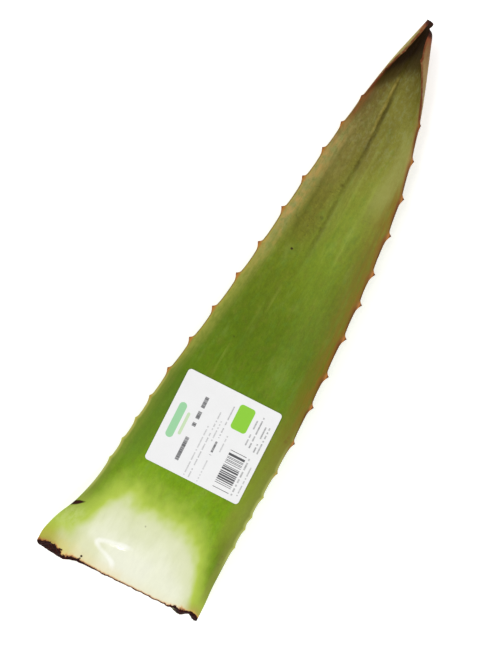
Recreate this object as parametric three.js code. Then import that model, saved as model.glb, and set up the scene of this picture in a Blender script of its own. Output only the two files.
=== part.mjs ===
// A cut aloe vera leaf lying on its rounded back, with a blank paper label stuck on its upper face.
// Millimetres. X runs from the cut end to the tip, Y to the leaf's left, and Z up.
// The leaf is a sheet that bends up at both margins, with flesh under it: each cross section has two
// arms, which leave the fold line level and curl upwards, and a belly that hangs below them.
import * as THREE from "three";

const RADIANS = Math.PI / 180;

// Outline seen from above: how far the leaf reaches to each side, as [distance from the cut, reach].
const REACH_LEFT = [
  [-6, 51.8], [4, 52.2], [14, 50], [30, 43.6], [48, 39.6], [75, 37.2], [116, 34.2],
  [160, 28.9], [205, 24.1], [255, 20.3], [300, 16.2], [335, 11.6], [367, 5.2],
];
const REACH_RIGHT = [
  [-6, 51.2], [10, 50.6], [26, 49.3], [60, 48.4], [115, 48.1], [150, 46.3], [190, 43.4],
  [230, 39.4], [262, 35.2], [290, 29], [318, 20.7], [345, 10.6], [358, 5.4], [367, 2],
];
const END = 367; // nominal place of the tip, which two split ends pass and miss by a few millimetres

// Lengthwise course of the fold line, the flesh's depth and the back's height over the table.
const FOLD_LINE = [
  [-6, 0], [60, -2.5], [120, -3.2], [175, -2.2], [240, -1.5], [300, -0.7], [340, 0.3], [367, 0.6],
];
const DEPTH = [
  [-6, 8.5], [30, 13.5], [70, 19], [115, 20.5], [170, 18], [230, 13.5], [290, 8], [330, 4.2], [367, 2.4],
];
const LIFT = [
  [-6, 2.6], [30, 0.5], [70, -0.8], [150, -1], [220, -0.8], [265, 0.6], [310, 4], [345, 7.5], [367, 10],
];

// Angle that each arm has reached at its margin, in degrees: past 90 the margin folds in over the channel.
const CURL_LEFT = [
  [-6, 8], [60, 10], [150, 17], [230, 26], [285, 38], [312, 54], [332, 82], [350, 124], [360, 132],
  [367, 110],
];
const CURL_RIGHT = [
  [-6, 6], [60, 9], [150, 16], [230, 26], [285, 38], [308, 52], [330, 104], [348, 152], [358, 146],
  [367, 100],
];
const BEND_POWER = 1.5; // above 1 the bend gathers towards the margin

// Section: the thickness of the sheet, which rounds off at the rim, the belly's form, and the crease.
const RIM = [[0, 1.5], [320, 1.5], [350, 1.2], [367, 0.9]];
const RIM_POWER = 12;
const BELLY_POWER = 2.4;
const BELLY_SHARPNESS = 0.85;
const CREASE_DEPTH = [[140, 0], [200, 0.4], [260, 1], [320, 1.1], [367, 0.5]];
const CREASE_WIDTH = 2.6;

// Ragged cut: how far each edge of the cut face stands past x = 0, as [share of the half width, distance].
const CUT_UPPER = [
  [-1, 2.4], [-0.94, 4.4], [-0.82, 4.2], [-0.72, 2.2], [-0.5, 1.2], [0, -0.6], [0.35, -1.2],
  [0.6, -2.6], [0.7, -3.8], [0.76, 0.3], [0.93, 0.6], [1, -1.8],
];
const CUT_LOWER = [
  [-1, 2], [-0.82, 1.2], [-0.5, 0.6], [0, -1.2], [0.35, -2], [0.6, -3.6], [0.7, -5.4], [0.86, -5.2],
  [1, -4.4],
];
const CUT_FADE = 28;

// Split tip: the left half ends past the right one, with a notch between them.
const TIP_SHIFT = [[-1, -2.2], [-0.6, -1.4], [-0.15, -1.8], [0.05, 0.6], [0.35, 3], [0.8, 3.3], [1, 2.4]];
const TIP_FADE = 16;
const FADE_POWER = 3; // how quickly the ragged cut and the split tip die out along the leaf

// Marginal spines: places along each margin, and their height there.
const SPINES_LEFT = [
  60, 73, 87, 102, 120.5, 142, 165, 187.5, 210, 234.5, 255.5, 275.5, 293.5, 313, 332.5, 349,
];
const SPINES_RIGHT = [
  50, 62, 70, 83, 99, 118.5, 142, 162, 185.5, 207.5, 226, 250.5, 273, 294, 314.5, 330, 348,
];
const SPINE_HEIGHT = [[40, 0.8], [100, 1.4], [145, 2.3], [240, 2.6], [300, 2.2], [350, 1.9]];
const SPINE_BACK = 4.2; // length of the flank that faces the cut
const SPINE_FRONT = 2.6; // length of the flank that faces the tip
const SPINE_FLANK = 1.7; // above 1 the flanks are hollow
const SPINE_HOOK = 0.35; // lean towards the tip, as a share of the height
const SPINE_ROOT = 0.9; // share of the half width past which the rim swells into the spine

// Paper label, stuck across the lower third.
const LABEL = { along: 58, across: 60, corner: 2, thick: 0.4, gap: 0.3, x: 99.8, y: -7, turn: 2.6 * RADIANS };

// Fineness of the solids.
const ROWS = 18;
const WIDEST_GAP = 7; // between stations along the leaf
const CLOSEST_GAP = 0.9;
const CUT_STATIONS = [0, 3];
const TIP_STATIONS = [END - 12, END - 7, END - 3.5, END - 1.5, END];
const SPINE_STATIONS = [-SPINE_BACK, -SPINE_BACK / 4, 0, SPINE_FRONT / 2];
const LABEL_COLUMNS = 10;
const LABEL_ROWS = 12;
const CORNER_COLUMN = 0.3; // place of the column inside each round corner, as a share of its radius
const ARC_STEPS = 24;
const FIT_ROUNDS = 8;

// Smooth curve through [x, value] points by cubic pieces, which never swings past its points.
function curveThrough(points) {
  const count = points.length;
  const rise = (i) => (points[i + 1][1] - points[i][1]) / (points[i + 1][0] - points[i][0]);
  const slopes = points.map((_, i) => {
    if (i === 0) return rise(0);
    if (i === count - 1) return rise(count - 2);
    const [before, after] = [rise(i - 1), rise(i)];
    return before * after <= 0 ? 0 : (2 * before * after) / (before + after);
  });
  return (x) => {
    let i = 0;
    while (i < count - 2 && x > points[i + 1][0]) i++;
    const span = points[i + 1][0] - points[i][0];
    const t = THREE.MathUtils.clamp((x - points[i][0]) / span, 0, 1);
    const [a, b] = [points[i][1], points[i + 1][1]];
    return (
      a * (1 + 2 * t) * (1 - t) ** 2 +
      b * t * t * (3 - 2 * t) +
      span * (slopes[i] * t * (1 - t) ** 2 - slopes[i + 1] * t * t * (1 - t))
    );
  };
}

const reachLeft = curveThrough(REACH_LEFT);
const reachRight = curveThrough(REACH_RIGHT);
const foldLine = curveThrough(FOLD_LINE);
const depthAt = curveThrough(DEPTH);
const liftAt = curveThrough(LIFT);
const rimAt = curveThrough(RIM);
const curlLeft = curveThrough(CURL_LEFT);
const curlRight = curveThrough(CURL_RIGHT);
const creaseDepth = curveThrough(CREASE_DEPTH);
const cutUpper = curveThrough(CUT_UPPER);
const cutLower = curveThrough(CUT_LOWER);
const tipShift = curveThrough(TIP_SHIFT);
const spineHeight = curveThrough(SPINE_HEIGHT);

// How far the spines of one margin stand out at x: each is a point between two hollow flanks.
function spineReach(x, places) {
  let reach = 0;
  for (const place of places) {
    const flank = x < place ? SPINE_BACK : SPINE_FRONT;
    const share = Math.max(0, 1 - Math.abs(x - place) / flank);
    reach = Math.max(reach, spineHeight(place) * share ** SPINE_FLANK);
  }
  return reach;
}

// Point at share v of an arc of unit length whose angle grows as v to the bend power, up to curl.
function arcPoint(v, curl) {
  const step = v / ARC_STEPS;
  let across = 0;
  let up = 0;
  for (let k = 0; k < ARC_STEPS; k++) {
    const angle = curl * ((k + 0.5) * step) ** BEND_POWER;
    across += Math.cos(angle) * step;
    up += Math.sin(angle) * step;
  }
  return { across, up, angle: curl * v ** BEND_POWER };
}

// Flesh under the skin at arc place a, between margins at -right and +left.
function belly(a, left, right) {
  const q = Math.abs((2 * a - left + right) / (left + right));
  return (1 - Math.min(1, q) ** BELLY_POWER) ** BELLY_SHARPNESS;
}

// Upper and lower skin of one half at share v of its arm, as [across, up] from the fold line.
function skins(v, side, half) {
  const arc = arcPoint(v, half.curl);
  const arms = half.arms;
  const own = side > 0 ? arms.left : arms.right;
  const rim = (half.rim / 2) * Math.sqrt(1 - v ** RIM_POWER);
  const under = rim + half.depth * belly(side * v * own, arms.left, arms.right);
  const crease = half.crease * Math.exp(-(((v * own) / CREASE_WIDTH) ** 2));
  const over = rim - crease;
  const spine = half.spine * Math.max(0, (v - SPINE_ROOT) / (1 - SPINE_ROOT));
  const [cos, sin] = [Math.cos(arc.angle), Math.sin(arc.angle)];
  const across = own * arc.across + spine * cos;
  const up = own * arc.up + spine * sin;
  return {
    upper: [side * (across - over * sin), up + over * cos],
    lower: [side * (across + under * sin), up - under * cos],
    forward: spine * SPINE_HOOK,
  };
}

// The arms' lengths that make the lower skin reach exactly as far as the outline says.
function fitArms(x) {
  const fold = foldLine(x);
  const wanted = { left: reachLeft(x) - fold, right: reachRight(x) + fold };
  const arms = { left: wanted.left, right: wanted.right };
  const common = { arms, depth: depthAt(x), rim: rimAt(x), crease: 0, spine: 0 };
  const half = (curl) => ({ ...common, curl: curl * RADIANS });
  for (let round = 0; round < FIT_ROUNDS; round++) {
    let [left, right] = [0, 0];
    for (let k = 0; k <= ARC_STEPS; k++) {
      const v = k / ARC_STEPS;
      left = Math.max(left, skins(v, 1, half(curlLeft(x))).lower[0]);
      right = Math.max(right, -skins(v, -1, half(curlRight(x))).lower[0]);
    }
    arms.left *= wanted.left / left;
    arms.right *= wanted.right / right;
  }
  return arms;
}

// Rows across the leaf, closer together at the margins: -1 is the right margin and 1 the left.
const rowShares = Array.from({ length: ROWS + 1 }, (_, i) => Math.sin((Math.PI / 2) * ((2 * i) / ROWS - 1)));

// One station: the upper and lower skin across the whole leaf at x, as points in space.
function station(x) {
  const arms = fitArms(x);
  const common = { arms, depth: depthAt(x), rim: rimAt(x), crease: creaseDepth(x) };
  const halves = {
    left: { ...common, curl: curlLeft(x) * RADIANS, spine: spineReach(x, SPINES_LEFT) },
    right: { ...common, curl: curlRight(x) * RADIANS, spine: spineReach(x, SPINES_RIGHT) },
  };
  const rows = rowShares.map((v) => skins(Math.abs(v), v < 0 ? -1 : 1, v < 0 ? halves.right : halves.left));
  const lowest = Math.min(...rows.map((row) => row.lower[1]));
  const fold = foldLine(x);
  const cutShare = Math.max(0, 1 - x / CUT_FADE) ** FADE_POWER;
  const tipShare = Math.max(0, 1 - (END - x) / TIP_FADE) ** FADE_POWER;
  const place = (point, v, forward, cut) => {
    const along = x + forward + cut(v) * cutShare + tipShift(v) * tipShare;
    return new THREE.Vector3(along, point[0] + fold, Math.max(0, point[1] - lowest + liftAt(x)));
  };
  return {
    upper: rows.map((row, i) => place(row.upper, rowShares[i], row.forward, cutUpper)),
    lower: rows.map((row, i) => place(row.lower, rowShares[i], row.forward, cutLower)),
  };
}

// Stations along the leaf: four at each spine, and more wherever the gap is still wide.
function stationPlaces() {
  const needed = new Set([...SPINES_LEFT, ...SPINES_RIGHT, END]);
  const wanted = [...CUT_STATIONS, ...TIP_STATIONS];
  for (const place of [...SPINES_LEFT, ...SPINES_RIGHT]) {
    wanted.push(...SPINE_STATIONS.map((offset) => place + offset));
  }
  wanted.sort((a, b) => a - b);
  const kept = [wanted[0]];
  for (const x of wanted.slice(1)) {
    const last = kept[kept.length - 1];
    if (x - last < CLOSEST_GAP && !needed.has(x)) continue;
    const pieces = Math.ceil((x - last) / WIDEST_GAP);
    for (let k = 1; k <= pieces; k++) kept.push(last + ((x - last) * k) / pieces);
  }
  return kept;
}

// A geometry from grid points and faces given by point numbers.
function geometryOf(points, faces) {
  const geometry = new THREE.BufferGeometry();
  geometry.setAttribute("position", new THREE.Float32BufferAttribute(points.flatMap((p) => p.toArray()), 3));
  geometry.setIndex(faces.flat());
  geometry.computeVertexNormals();
  return geometry;
}

// The leaf: a closed ring of points at each station, skinned to the next, with a strip over each end.
function leafGeometry() {
  const points = [];
  const rings = stationPlaces().map((x) => {
    const { upper, lower } = station(x);
    const ring = [...upper, ...lower.slice(1, -1).reverse()];
    return ring.map((point) => points.push(point) - 1);
  });
  const around = rings[0].length;
  const faces = [];
  for (let i = 0; i + 1 < rings.length; i++) {
    for (let j = 0; j < around; j++) {
      const k = (j + 1) % around;
      const [a, b, c, d] = [rings[i][j], rings[i][k], rings[i + 1][k], rings[i + 1][j]];
      faces.push([a, d, b], [b, d, c]);
    }
  }
  const upperOf = (ring, i) => ring[i];
  const lowerOf = (ring, i) => (i === 0 || i === ROWS ? ring[i] : ring[around - i]);
  for (const [ring, flip] of [[rings[0], false], [rings[rings.length - 1], true]]) {
    for (let i = 0; i < ROWS; i++) {
      const corners = [upperOf(ring, i), upperOf(ring, i + 1), lowerOf(ring, i + 1), lowerOf(ring, i)];
      for (const [a, b, c] of [[0, 1, 2], [0, 2, 3]]) {
        const face = [corners[a], corners[b], corners[c]];
        if (new Set(face).size === 3) faces.push(flip ? face.reverse() : face);
      }
    }
  }
  return geometryOf(points, faces);
}

// Height of the upper skin at a place under the label.
function upperHeight(x, y) {
  const row = station(x).upper;
  let i = 0;
  while (i < ROWS - 1 && row[i + 1].y < y) i++;
  const share = (y - row[i].y) / (row[i + 1].y - row[i].y);
  return THREE.MathUtils.lerp(row[i].z, row[i + 1].z, share);
}

// The label: a sheet with round corners that follows the skin, with a thin gap under it.
function labelGeometry() {
  const { along, across, corner, thick, gap } = LABEL;
  const [halfAlong, halfAcross] = [along / 2, across / 2];
  const inner = halfAlong - CORNER_COLUMN * corner;
  const plain = Array.from({ length: LABEL_COLUMNS + 1 }, (_, k) => (2 * k) / LABEL_COLUMNS - 1);
  const middles = plain.map((share) => share * (halfAlong - corner));
  const columns = [-halfAlong, -inner, ...middles, inner, halfAlong];
  const rows = LABEL_ROWS;
  const layers = [gap, gap + thick].map((height) =>
    columns.map((a) => {
      const past = Math.max(0, Math.abs(a) - halfAlong + corner);
      const half = halfAcross - corner + Math.sqrt(Math.max(0, corner ** 2 - past ** 2));
      return Array.from({ length: rows + 1 }, (_, j) => {
        const b = half * ((2 * j) / rows - 1);
        const x = LABEL.x + a * Math.cos(LABEL.turn) - b * Math.sin(LABEL.turn);
        const y = LABEL.y + a * Math.sin(LABEL.turn) + b * Math.cos(LABEL.turn);
        return new THREE.Vector3(x, y, upperHeight(x, y) + height);
      });
    }),
  );
  const points = layers.flat(2);
  const wide = rows + 1;
  const number = (layer, i, j) => (layer * columns.length + i) * wide + j;
  const faces = [];
  const quad = (a, b, c, d) => faces.push([a, b, c], [a, c, d]);
  for (let i = 0; i + 1 < columns.length; i++) {
    for (let j = 0; j < rows; j++) {
      quad(number(1, i, j), number(1, i + 1, j), number(1, i + 1, j + 1), number(1, i, j + 1));
      quad(number(0, i, j), number(0, i, j + 1), number(0, i + 1, j + 1), number(0, i + 1, j));
    }
    quad(number(0, i, 0), number(0, i + 1, 0), number(1, i + 1, 0), number(1, i, 0));
    quad(number(0, i, rows), number(1, i, rows), number(1, i + 1, rows), number(0, i + 1, rows));
  }
  const last = columns.length - 1;
  for (let j = 0; j < rows; j++) {
    quad(number(0, 0, j), number(1, 0, j), number(1, 0, j + 1), number(0, 0, j + 1));
    quad(number(0, last, j), number(0, last, j + 1), number(1, last, j + 1), number(1, last, j));
  }
  return geometryOf(points, faces);
}

const leaf = new THREE.Mesh(
  leafGeometry(),
  new THREE.MeshStandardMaterial({ color: 0x7a9033, roughness: 0.5, metalness: 0 }),
);
leaf.name = "leaf";

const label = new THREE.Mesh(
  labelGeometry(),
  new THREE.MeshStandardMaterial({ color: 0xf1f1f2, roughness: 0.6, metalness: 0 }),
);
label.name = "label";

// The origin is under the middle of the leaf, on the table.
const bounds = new THREE.Box3().setFromBufferAttribute(leaf.geometry.getAttribute("position"));
const middle = bounds.getCenter(new THREE.Vector3());
const aloeLeaf = new THREE.Group();
aloeLeaf.add(leaf, label);
for (const piece of aloeLeaf.children) piece.position.set(-middle.x, -middle.y, -bounds.min.z);

export default aloeLeaf;
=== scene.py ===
# The looks of a cut aloe vera leaf and its paper label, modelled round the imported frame.
# Shapes are worked out in millimetres from the middle of the cut: X to the tip, Y to the leaf's left, Z up.
import math
from types import SimpleNamespace

import bpy
import numpy as np
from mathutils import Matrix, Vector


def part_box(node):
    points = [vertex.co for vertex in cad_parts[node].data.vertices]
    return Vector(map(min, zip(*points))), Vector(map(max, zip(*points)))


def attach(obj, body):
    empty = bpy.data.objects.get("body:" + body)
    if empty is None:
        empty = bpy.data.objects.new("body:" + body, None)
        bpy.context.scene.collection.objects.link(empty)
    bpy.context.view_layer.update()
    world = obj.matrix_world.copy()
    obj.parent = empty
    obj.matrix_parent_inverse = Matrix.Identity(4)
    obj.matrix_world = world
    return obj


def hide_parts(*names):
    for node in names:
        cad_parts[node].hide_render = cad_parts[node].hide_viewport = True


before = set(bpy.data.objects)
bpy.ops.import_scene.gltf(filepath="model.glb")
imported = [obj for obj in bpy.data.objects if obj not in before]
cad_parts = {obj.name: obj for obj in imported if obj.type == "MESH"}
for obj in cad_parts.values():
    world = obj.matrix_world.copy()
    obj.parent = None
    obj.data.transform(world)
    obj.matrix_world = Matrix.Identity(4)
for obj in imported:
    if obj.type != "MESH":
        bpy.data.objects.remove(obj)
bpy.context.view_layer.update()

METRES = 0.001  # in one millimetre

# Outline seen from above: how far the leaf reaches to each side, as (distance from the cut, reach).
REACH_LEFT = [
    (-6, 51.8), (4, 52.2), (14, 50), (30, 43.6), (48, 39.6), (75, 37.2), (116, 34.2), (160, 28.9),
    (205, 24.1), (255, 20.3), (300, 16.2), (335, 11.4), (356, 6.9), (367, 3.9),
]
REACH_RIGHT = [
    (-6, 51.2), (10, 50.6), (26, 49.3), (60, 48.4), (115, 48.1), (150, 46.3), (190, 43.4), (230, 39.4),
    (262, 35.2), (290, 29), (318, 20.7), (345, 10.6), (358, 5.5), (367, 2.8),
]
END = 367  # nominal place of the tip

# Lengthwise course of the fold line, the flesh's depth and the back's height over the floor.
FOLD_LINE = [
    (-6, 0), (60, -2.3), (120, -2.6), (180, -2), (225, -2.6), (285, -2.5), (303, -1.8), (315, -1.2),
    (324, -0.6), (335, 0.1), (345, 0.5), (367, 0.6),
]
DEPTH = [
    (-6, 8.5), (30, 13.5), (70, 19), (115, 20.5), (170, 18), (230, 13.5), (290, 8), (330, 4.2), (367, 2.4),
]
LIFT = [
    (-6, 2.6), (30, 0.5), (70, -0.8), (150, -1), (220, -0.8), (265, 0.6), (310, 4), (345, 7.5), (367, 10),
]

# Angle that each arm of the section has reached at its margin, in degrees.
CURL_LEFT = [
    (-6, 8), (60, 10), (150, 17), (230, 26), (285, 38), (312, 54), (332, 82), (350, 124), (360, 132),
    (367, 110),
]
CURL_RIGHT = [
    (-6, 6), (60, 9), (150, 16), (230, 26), (285, 38), (308, 52), (330, 104), (348, 154), (357, 172),
    (363, 162), (367, 118),
]
BEND_POWER = 1.5

# Section: the thickness of the sheet, which rounds off at the rim, the belly's form, and the crease.
RIM = [(0, 1.5), (320, 1.5), (350, 1.2), (367, 0.9)]
RIM_POWER = 12
BELLY_POWER = 2.4
BELLY_SHARPNESS = 0.85
CREASE_DEPTH = [(140, 0), (200, 0.2), (260, 0.4), (310, 0.6), (345, 0.5), (367, 0.3)]
CREASE_WIDTH = 1.6

# Ragged cut: how far each edge of the cut face stands past x = 0, as (share of the half width, distance).
CUT_UPPER = [
    (-1, 2), (-0.95, 3.5), (-0.86, 4.1), (-0.8, 2.1), (-0.73, 2.6), (-0.64, 1.3), (-0.5, 0.8), (0, -0.6),
    (0.26, -1.4), (0.37, -1.5), (0.47, -2), (0.56, -3.1), (0.6, -4), (0.645, -4.9), (0.685, -4.4),
    (0.71, -2.8), (0.745, -2.1), (0.78, -1), (0.815, 0.1), (0.86, 0), (0.91, -1), (0.96, -2), (1, -2.4),
]
CUT_LOWER = [
    (-1, 1.8), (-0.96, 1.5), (-0.88, 2.9), (-0.82, 1), (-0.78, 0), (-0.64, 0.8), (-0.4, 0.2), (0, -1.2),
    (0.26, -2.3), (0.37, -2.6), (0.47, -3), (0.56, -4.1), (0.61, -5.2), (0.645, -6), (0.69, -5.9),
    (0.72, -5.4), (0.8, -5.2), (0.863, -4.5), (0.914, -4.6), (0.948, -4.6), (0.975, -3.8), (1, -2.4),
]
CUT_FADE = 28

# Split tip: the left half ends past the right one in a knob that leans over the notch between them.
TIP_SHIFT = [
    (-1, -3.2), (-0.7, -3.4), (-0.35, -2), (-0.12, -1.2), (-0.04, 0.8), (0.1, 2), (0.35, 2.5), (0.8, 2.7),
    (1, 2),
]
TIP_FADE = 16
FADE_POWER = 3
KNOB_LEAN = 1.3

# Marginal spines: places along each margin, and their height there.
SPINES_LEFT = [
    60, 73, 87, 102, 120.8, 142, 164, 187.3, 209.2, 233.4, 254.6, 274.6, 292.8, 311.7, 332, 346.2,
]
SPINES_RIGHT = [
    50, 62, 70, 83, 99, 118.5, 141.7, 161.3, 185.1, 206.4, 225.4, 249.2, 271.4, 293.1, 313, 328.4, 345.5,
]
SPINE_HEIGHT = [(40, 0.8), (100, 1.4), (145, 2.3), (240, 2.6), (300, 2.2), (350, 1.9)]
SPINE_BACK = 4.4
SPINE_FRONT = 3.2
SPINE_FLANK = 1.9
SPINE_HOOK = 0.3
SPINE_ROOT = 0.9
SPINE_TAPER = 0.8
SHOULDER = 0.28
SHOULDER_HALF = 10

# Paper label: its sides and round corners, its middle and its turn.
LABEL_ALONG = 58
LABEL_ACROSS = 60
LABEL_CORNER = 2
LABEL_MIDDLE = (99.8, -7)
LABEL_TURN = math.radians(2.6)
LABEL_THICK = 0.25
LABEL_GAP = 0.12
LABEL_LIFT = 0.3  # most that its edges stand off the skin

# Fineness of the meshes.
ROWS = 96
STATION_GAP = 1.0
CAP_LAYERS = 14
CAP_DEPTHS = (np.arange(1, CAP_LAYERS) / CAP_LAYERS)[:, None]
LABEL_STEPS = 110
ARC_STEPS = 24
FIT_ROUNDS = 8
SHARP_ANGLE = math.radians(52)  # edges that turn more than this are drawn sharp

# The label's middle says where the cut end of these shapes lies in the frame.
label_low, label_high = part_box("label")
OFFSET = np.array([
    (label_low.x + label_high.x) / 2 / METRES - LABEL_MIDDLE[0],
    (label_low.y + label_high.y) / 2 / METRES - LABEL_MIDDLE[1],
    0.0,
])


def curve_through(points):
    """Smooth curve through (x, value) points: cubic pieces whose slopes are harmonic means of the rises
    on either side of a point, so that the curve never swings past its points."""
    xs, ys = np.array(points, float).T
    rise = np.diff(ys) / np.diff(xs)
    before, after = rise[:-1], rise[1:]
    same = before * after > 0
    inner = np.where(same, 2 * before * after / np.where(same, before + after, 1), 0)
    slopes = np.concatenate([rise[:1], inner, rise[-1:]])

    def value(x):
        i = np.clip(np.searchsorted(xs, x) - 1, 0, len(xs) - 2)
        span = xs[i + 1] - xs[i]
        t = np.clip((x - xs[i]) / span, 0, 1)
        return (
            ys[i] * (1 + 2 * t) * (1 - t) ** 2
            + ys[i + 1] * t * t * (3 - 2 * t)
            + span * (slopes[i] * t * (1 - t) ** 2 - slopes[i + 1] * t * t * (1 - t))
        )

    return value


reach_left = curve_through(REACH_LEFT)
reach_right = curve_through(REACH_RIGHT)
fold_line = curve_through(FOLD_LINE)
depth_at = curve_through(DEPTH)
lift_at = curve_through(LIFT)
rim_at = curve_through(RIM)
curl_left = curve_through(CURL_LEFT)
curl_right = curve_through(CURL_RIGHT)
crease_depth = curve_through(CREASE_DEPTH)
cut_upper = curve_through(CUT_UPPER)
cut_lower = curve_through(CUT_LOWER)
tip_shift = curve_through(TIP_SHIFT)
spine_height = curve_through(SPINE_HEIGHT)


def step(value, low, high):
    """Share of the way from low to high, clipped, on the smooth curve t * t * (3 - 2 t)."""
    t = np.clip((value - low) / (high - low), 0, 1)
    return t * t * (3 - 2 * t)


def hump(value, middle, width):
    """Bell curve of height 1: exp of minus the square of the distance from middle over width."""
    return np.exp(-(((value - middle) / width) ** 2))


LATTICE = 64  # cells before the noise of lumps() repeats


def lumps(places, seed):
    """Smooth noise from -1 to 1: random values on a lattice of whole numbers, blended between the
    corners of each cell with the weights of step()."""
    places = np.broadcast_arrays(*places)
    table = np.random.default_rng(seed).uniform(-1, 1, (LATTICE,) * len(places))
    cells = [np.floor(place) for place in places]
    weights = [step(place - cell, 0, 1) for place, cell in zip(places, cells)]
    total = 0
    for corner in np.ndindex(*(2,) * len(places)):
        share = 1
        for far, weight in zip(corner, weights):
            share = share * (weight if far else 1 - weight)
        index = tuple((cell.astype(int) + far) % LATTICE for far, cell in zip(corner, cells))
        total = total + share * table[index]
    return total


def spine_reach(x, places):
    """How far the spines of one margin stand out at x: at each place a point between two hollow flanks, on
    a low shoulder that falls off as the square of the share left of its half width."""
    places = np.array(places, float)
    flank = np.where(x < places, SPINE_BACK, SPINE_FRONT)
    share = np.maximum(0, 1 - np.abs(x - places) / flank)
    shoulder = np.maximum(0, 1 - np.abs(x - places) / SHOULDER_HALF) ** 2
    reach = (1 - SHOULDER) * share**SPINE_FLANK + SHOULDER * shoulder
    return (spine_height(places) * reach).max(axis=1, keepdims=True)


def bend(share, curl):
    """Place and angle at a share of an arm of unit length, whose angle grows as share ** BEND_POWER up to
    curl: the integrals of the cosine and the sine of the angle, as means over midpoints."""
    midpoints = (np.arange(ARC_STEPS) + 0.5) / ARC_STEPS
    angles = curl[..., None] * (share[..., None] * midpoints) ** BEND_POWER
    return np.cos(angles).mean(-1) * share, np.sin(angles).mean(-1) * share, curl * share**BEND_POWER


def relief(x, v, arc):
    """Height added to the upper and the lower skin: slow waves, fine ribs that grow as the leaf dries
    towards its tip, the crease with a ridge beside it, and a small roof-shaped fold near the cut."""
    calm = 1 - np.abs(v) ** 6
    dry = step(x, 285, 350)
    ribs = lumps((x / 55, v * 13), 5) * (0.04 + 0.06 * dry)
    ribs = ribs + lumps((x / 30, v * 31), 6) * (0.02 + 0.02 * dry)
    puckered = (0.35 + 0.65 * step(v, 0, 0.15)) * step(x, 165, 215) * (1 - step(x, 325, 350))
    dents = 0.2 * lumps((x / 10, v * 5), 15) + 0.13 * lumps((x / 4.5, v * 9), 16)
    upper = (0.3 * lumps((x / 34, v * 1.7), 3) + ribs + puckered * dents) * calm
    upper -= crease_depth(x) * hump(arc, 0, CREASE_WIDTH)
    upper -= 0.25 * step(x, 190, 240) * hump(arc, 0.25 * lumps((x / 6, v * 0), 17), 1.1)
    upper += 0.25 * step(x, 270, 320) * hump(arc, 2.6, 1.4) * (1 - step(x, 330, 350))
    upper += wet_fold(x, arc + fold_line(x))
    lower = (0.35 * lumps((x / 45, v * 1.9), 4) + ribs) * calm
    return upper, lower


# Course of the low arched ripple in the bleached skin, as (distance from the cut, distance to the left,
# strength), and the small steps that it is drawn in.
FOLD_COURSE = [
    (5, -3, 0), (3.6, 3, 0.4), (4, 6.4, 0.5), (7, 8, 1), (9.4, 12.4, 0.8), (11.2, 18, 0.75),
    (14, 21.6, 1), (16.4, 18, 0.8), (17.7, 12.4, 0.85), (19, 6.5, 1), (19.6, 2, 0.5), (19.2, -3, 0.3),
    (18, -8, 0.15), (16, -13, 0),
]
FOLD_STEPS = 90
FOLD_RISE = 0.62
FOLD_WIDTH = 2.0


def wet_fold(x, y):
    """A rounded ridge along the ripple's course: the greatest of small bells set close together on it."""
    order = np.arange(len(FOLD_COURSE))
    places = np.linspace(0, order[-1], FOLD_STEPS)
    columns = [curve_through(list(zip(order, column)))(places) for column in zip(*FOLD_COURSE)]
    rise = np.zeros(np.broadcast(x, y).shape)
    for along, left, strength in zip(*columns):
        rise = np.maximum(rise, strength * hump(np.hypot(x - along, y - left), 0, FOLD_WIDTH))
    return FOLD_RISE * rise


def skins(x, v, arms, detail=True):
    """Upper and lower skin at distance x from the cut and share v across, as (across, up) from the fold
    line. Each arm is bend() times its length. The skin lies half the rim's thickness off the arm, which
    rounds off as sqrt(1 - v ** RIM_POWER), and the belly adds (1 - q ** BELLY_POWER) ** BELLY_SHARPNESS of
    the flesh's depth below, where q runs from 0 midway between the margins to 1 at each of them."""
    side = np.where(v < 0, -1, 1)
    left, right = arms
    own = np.where(v < 0, right, left)
    share = np.broadcast_to(np.minimum(1, np.abs(v)), own.shape)
    curl = np.radians(np.where(v < 0, curl_right(x), curl_left(x)))
    across, up, angle = bend(share, curl)
    rim = rim_at(x) / 2 * np.sqrt(1 - share**RIM_POWER)
    arc = side * share * own
    spine = np.zeros_like(arc)
    if detail:
        reach = np.where(v < 0, spine_reach(x, SPINES_RIGHT), spine_reach(x, SPINES_LEFT))
        spine = reach * np.maximum(0, (share - SPINE_ROOT) / (1 - SPINE_ROOT))
        rim = rim * (1 - SPINE_TAPER * np.minimum(1, spine / spine_height(x)))
    q = np.minimum(1, np.abs((2 * arc - left + right) / (left + right)))
    under = rim + depth_at(x) * (1 - q**BELLY_POWER) ** BELLY_SHARPNESS
    over = rim
    if detail:
        upper_relief, lower_relief = relief(x, v, arc)
        over = rim + upper_relief
        under = under + lower_relief
    across = own * across + spine * np.cos(angle)
    up = own * up + spine * np.sin(angle)
    upper = side * (across - over * np.sin(angle)), up + over * np.cos(angle)
    lower = side * (across + under * np.sin(angle)), up - under * np.cos(angle)
    return {"upper": upper, "lower": lower, "spine": spine, "arc": arc, "own": own}


def fit_arms(x):
    """Lengths of the left and the right arm that make the lower skin reach as far as the outline says."""
    fold = fold_line(x)
    wanted = reach_left(x) - fold, reach_right(x) + fold
    left, right = wanted
    shares = np.linspace(0, 1, ARC_STEPS + 1)[None]
    for _ in range(FIT_ROUNDS):
        found_left = skins(x, shares, (left, right), False)["lower"][0].max(1, keepdims=True)
        found_right = -skins(x, -shares - 1e-9, (left, right), False)["lower"][0].min(1, keepdims=True)
        left, right = left * wanted[0] / found_left, right * wanted[1] / found_right
    return left, right


def station_places():
    """Even stations along the leaf, with more at the spines, at the cut and at the tip."""
    spines = np.array(SPINES_LEFT + SPINES_RIGHT, float)
    near = [spines + offset for offset in (-0.4, 0, 0.35)]
    ends = [np.array([0.0, 0.15, 0.4]), END - np.array([0.0, 0.15, 0.4])]
    even = np.arange(0, END, STATION_GAP)
    places = np.unique(np.concatenate([even, *near, *ends]))
    return places[:, None]


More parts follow.
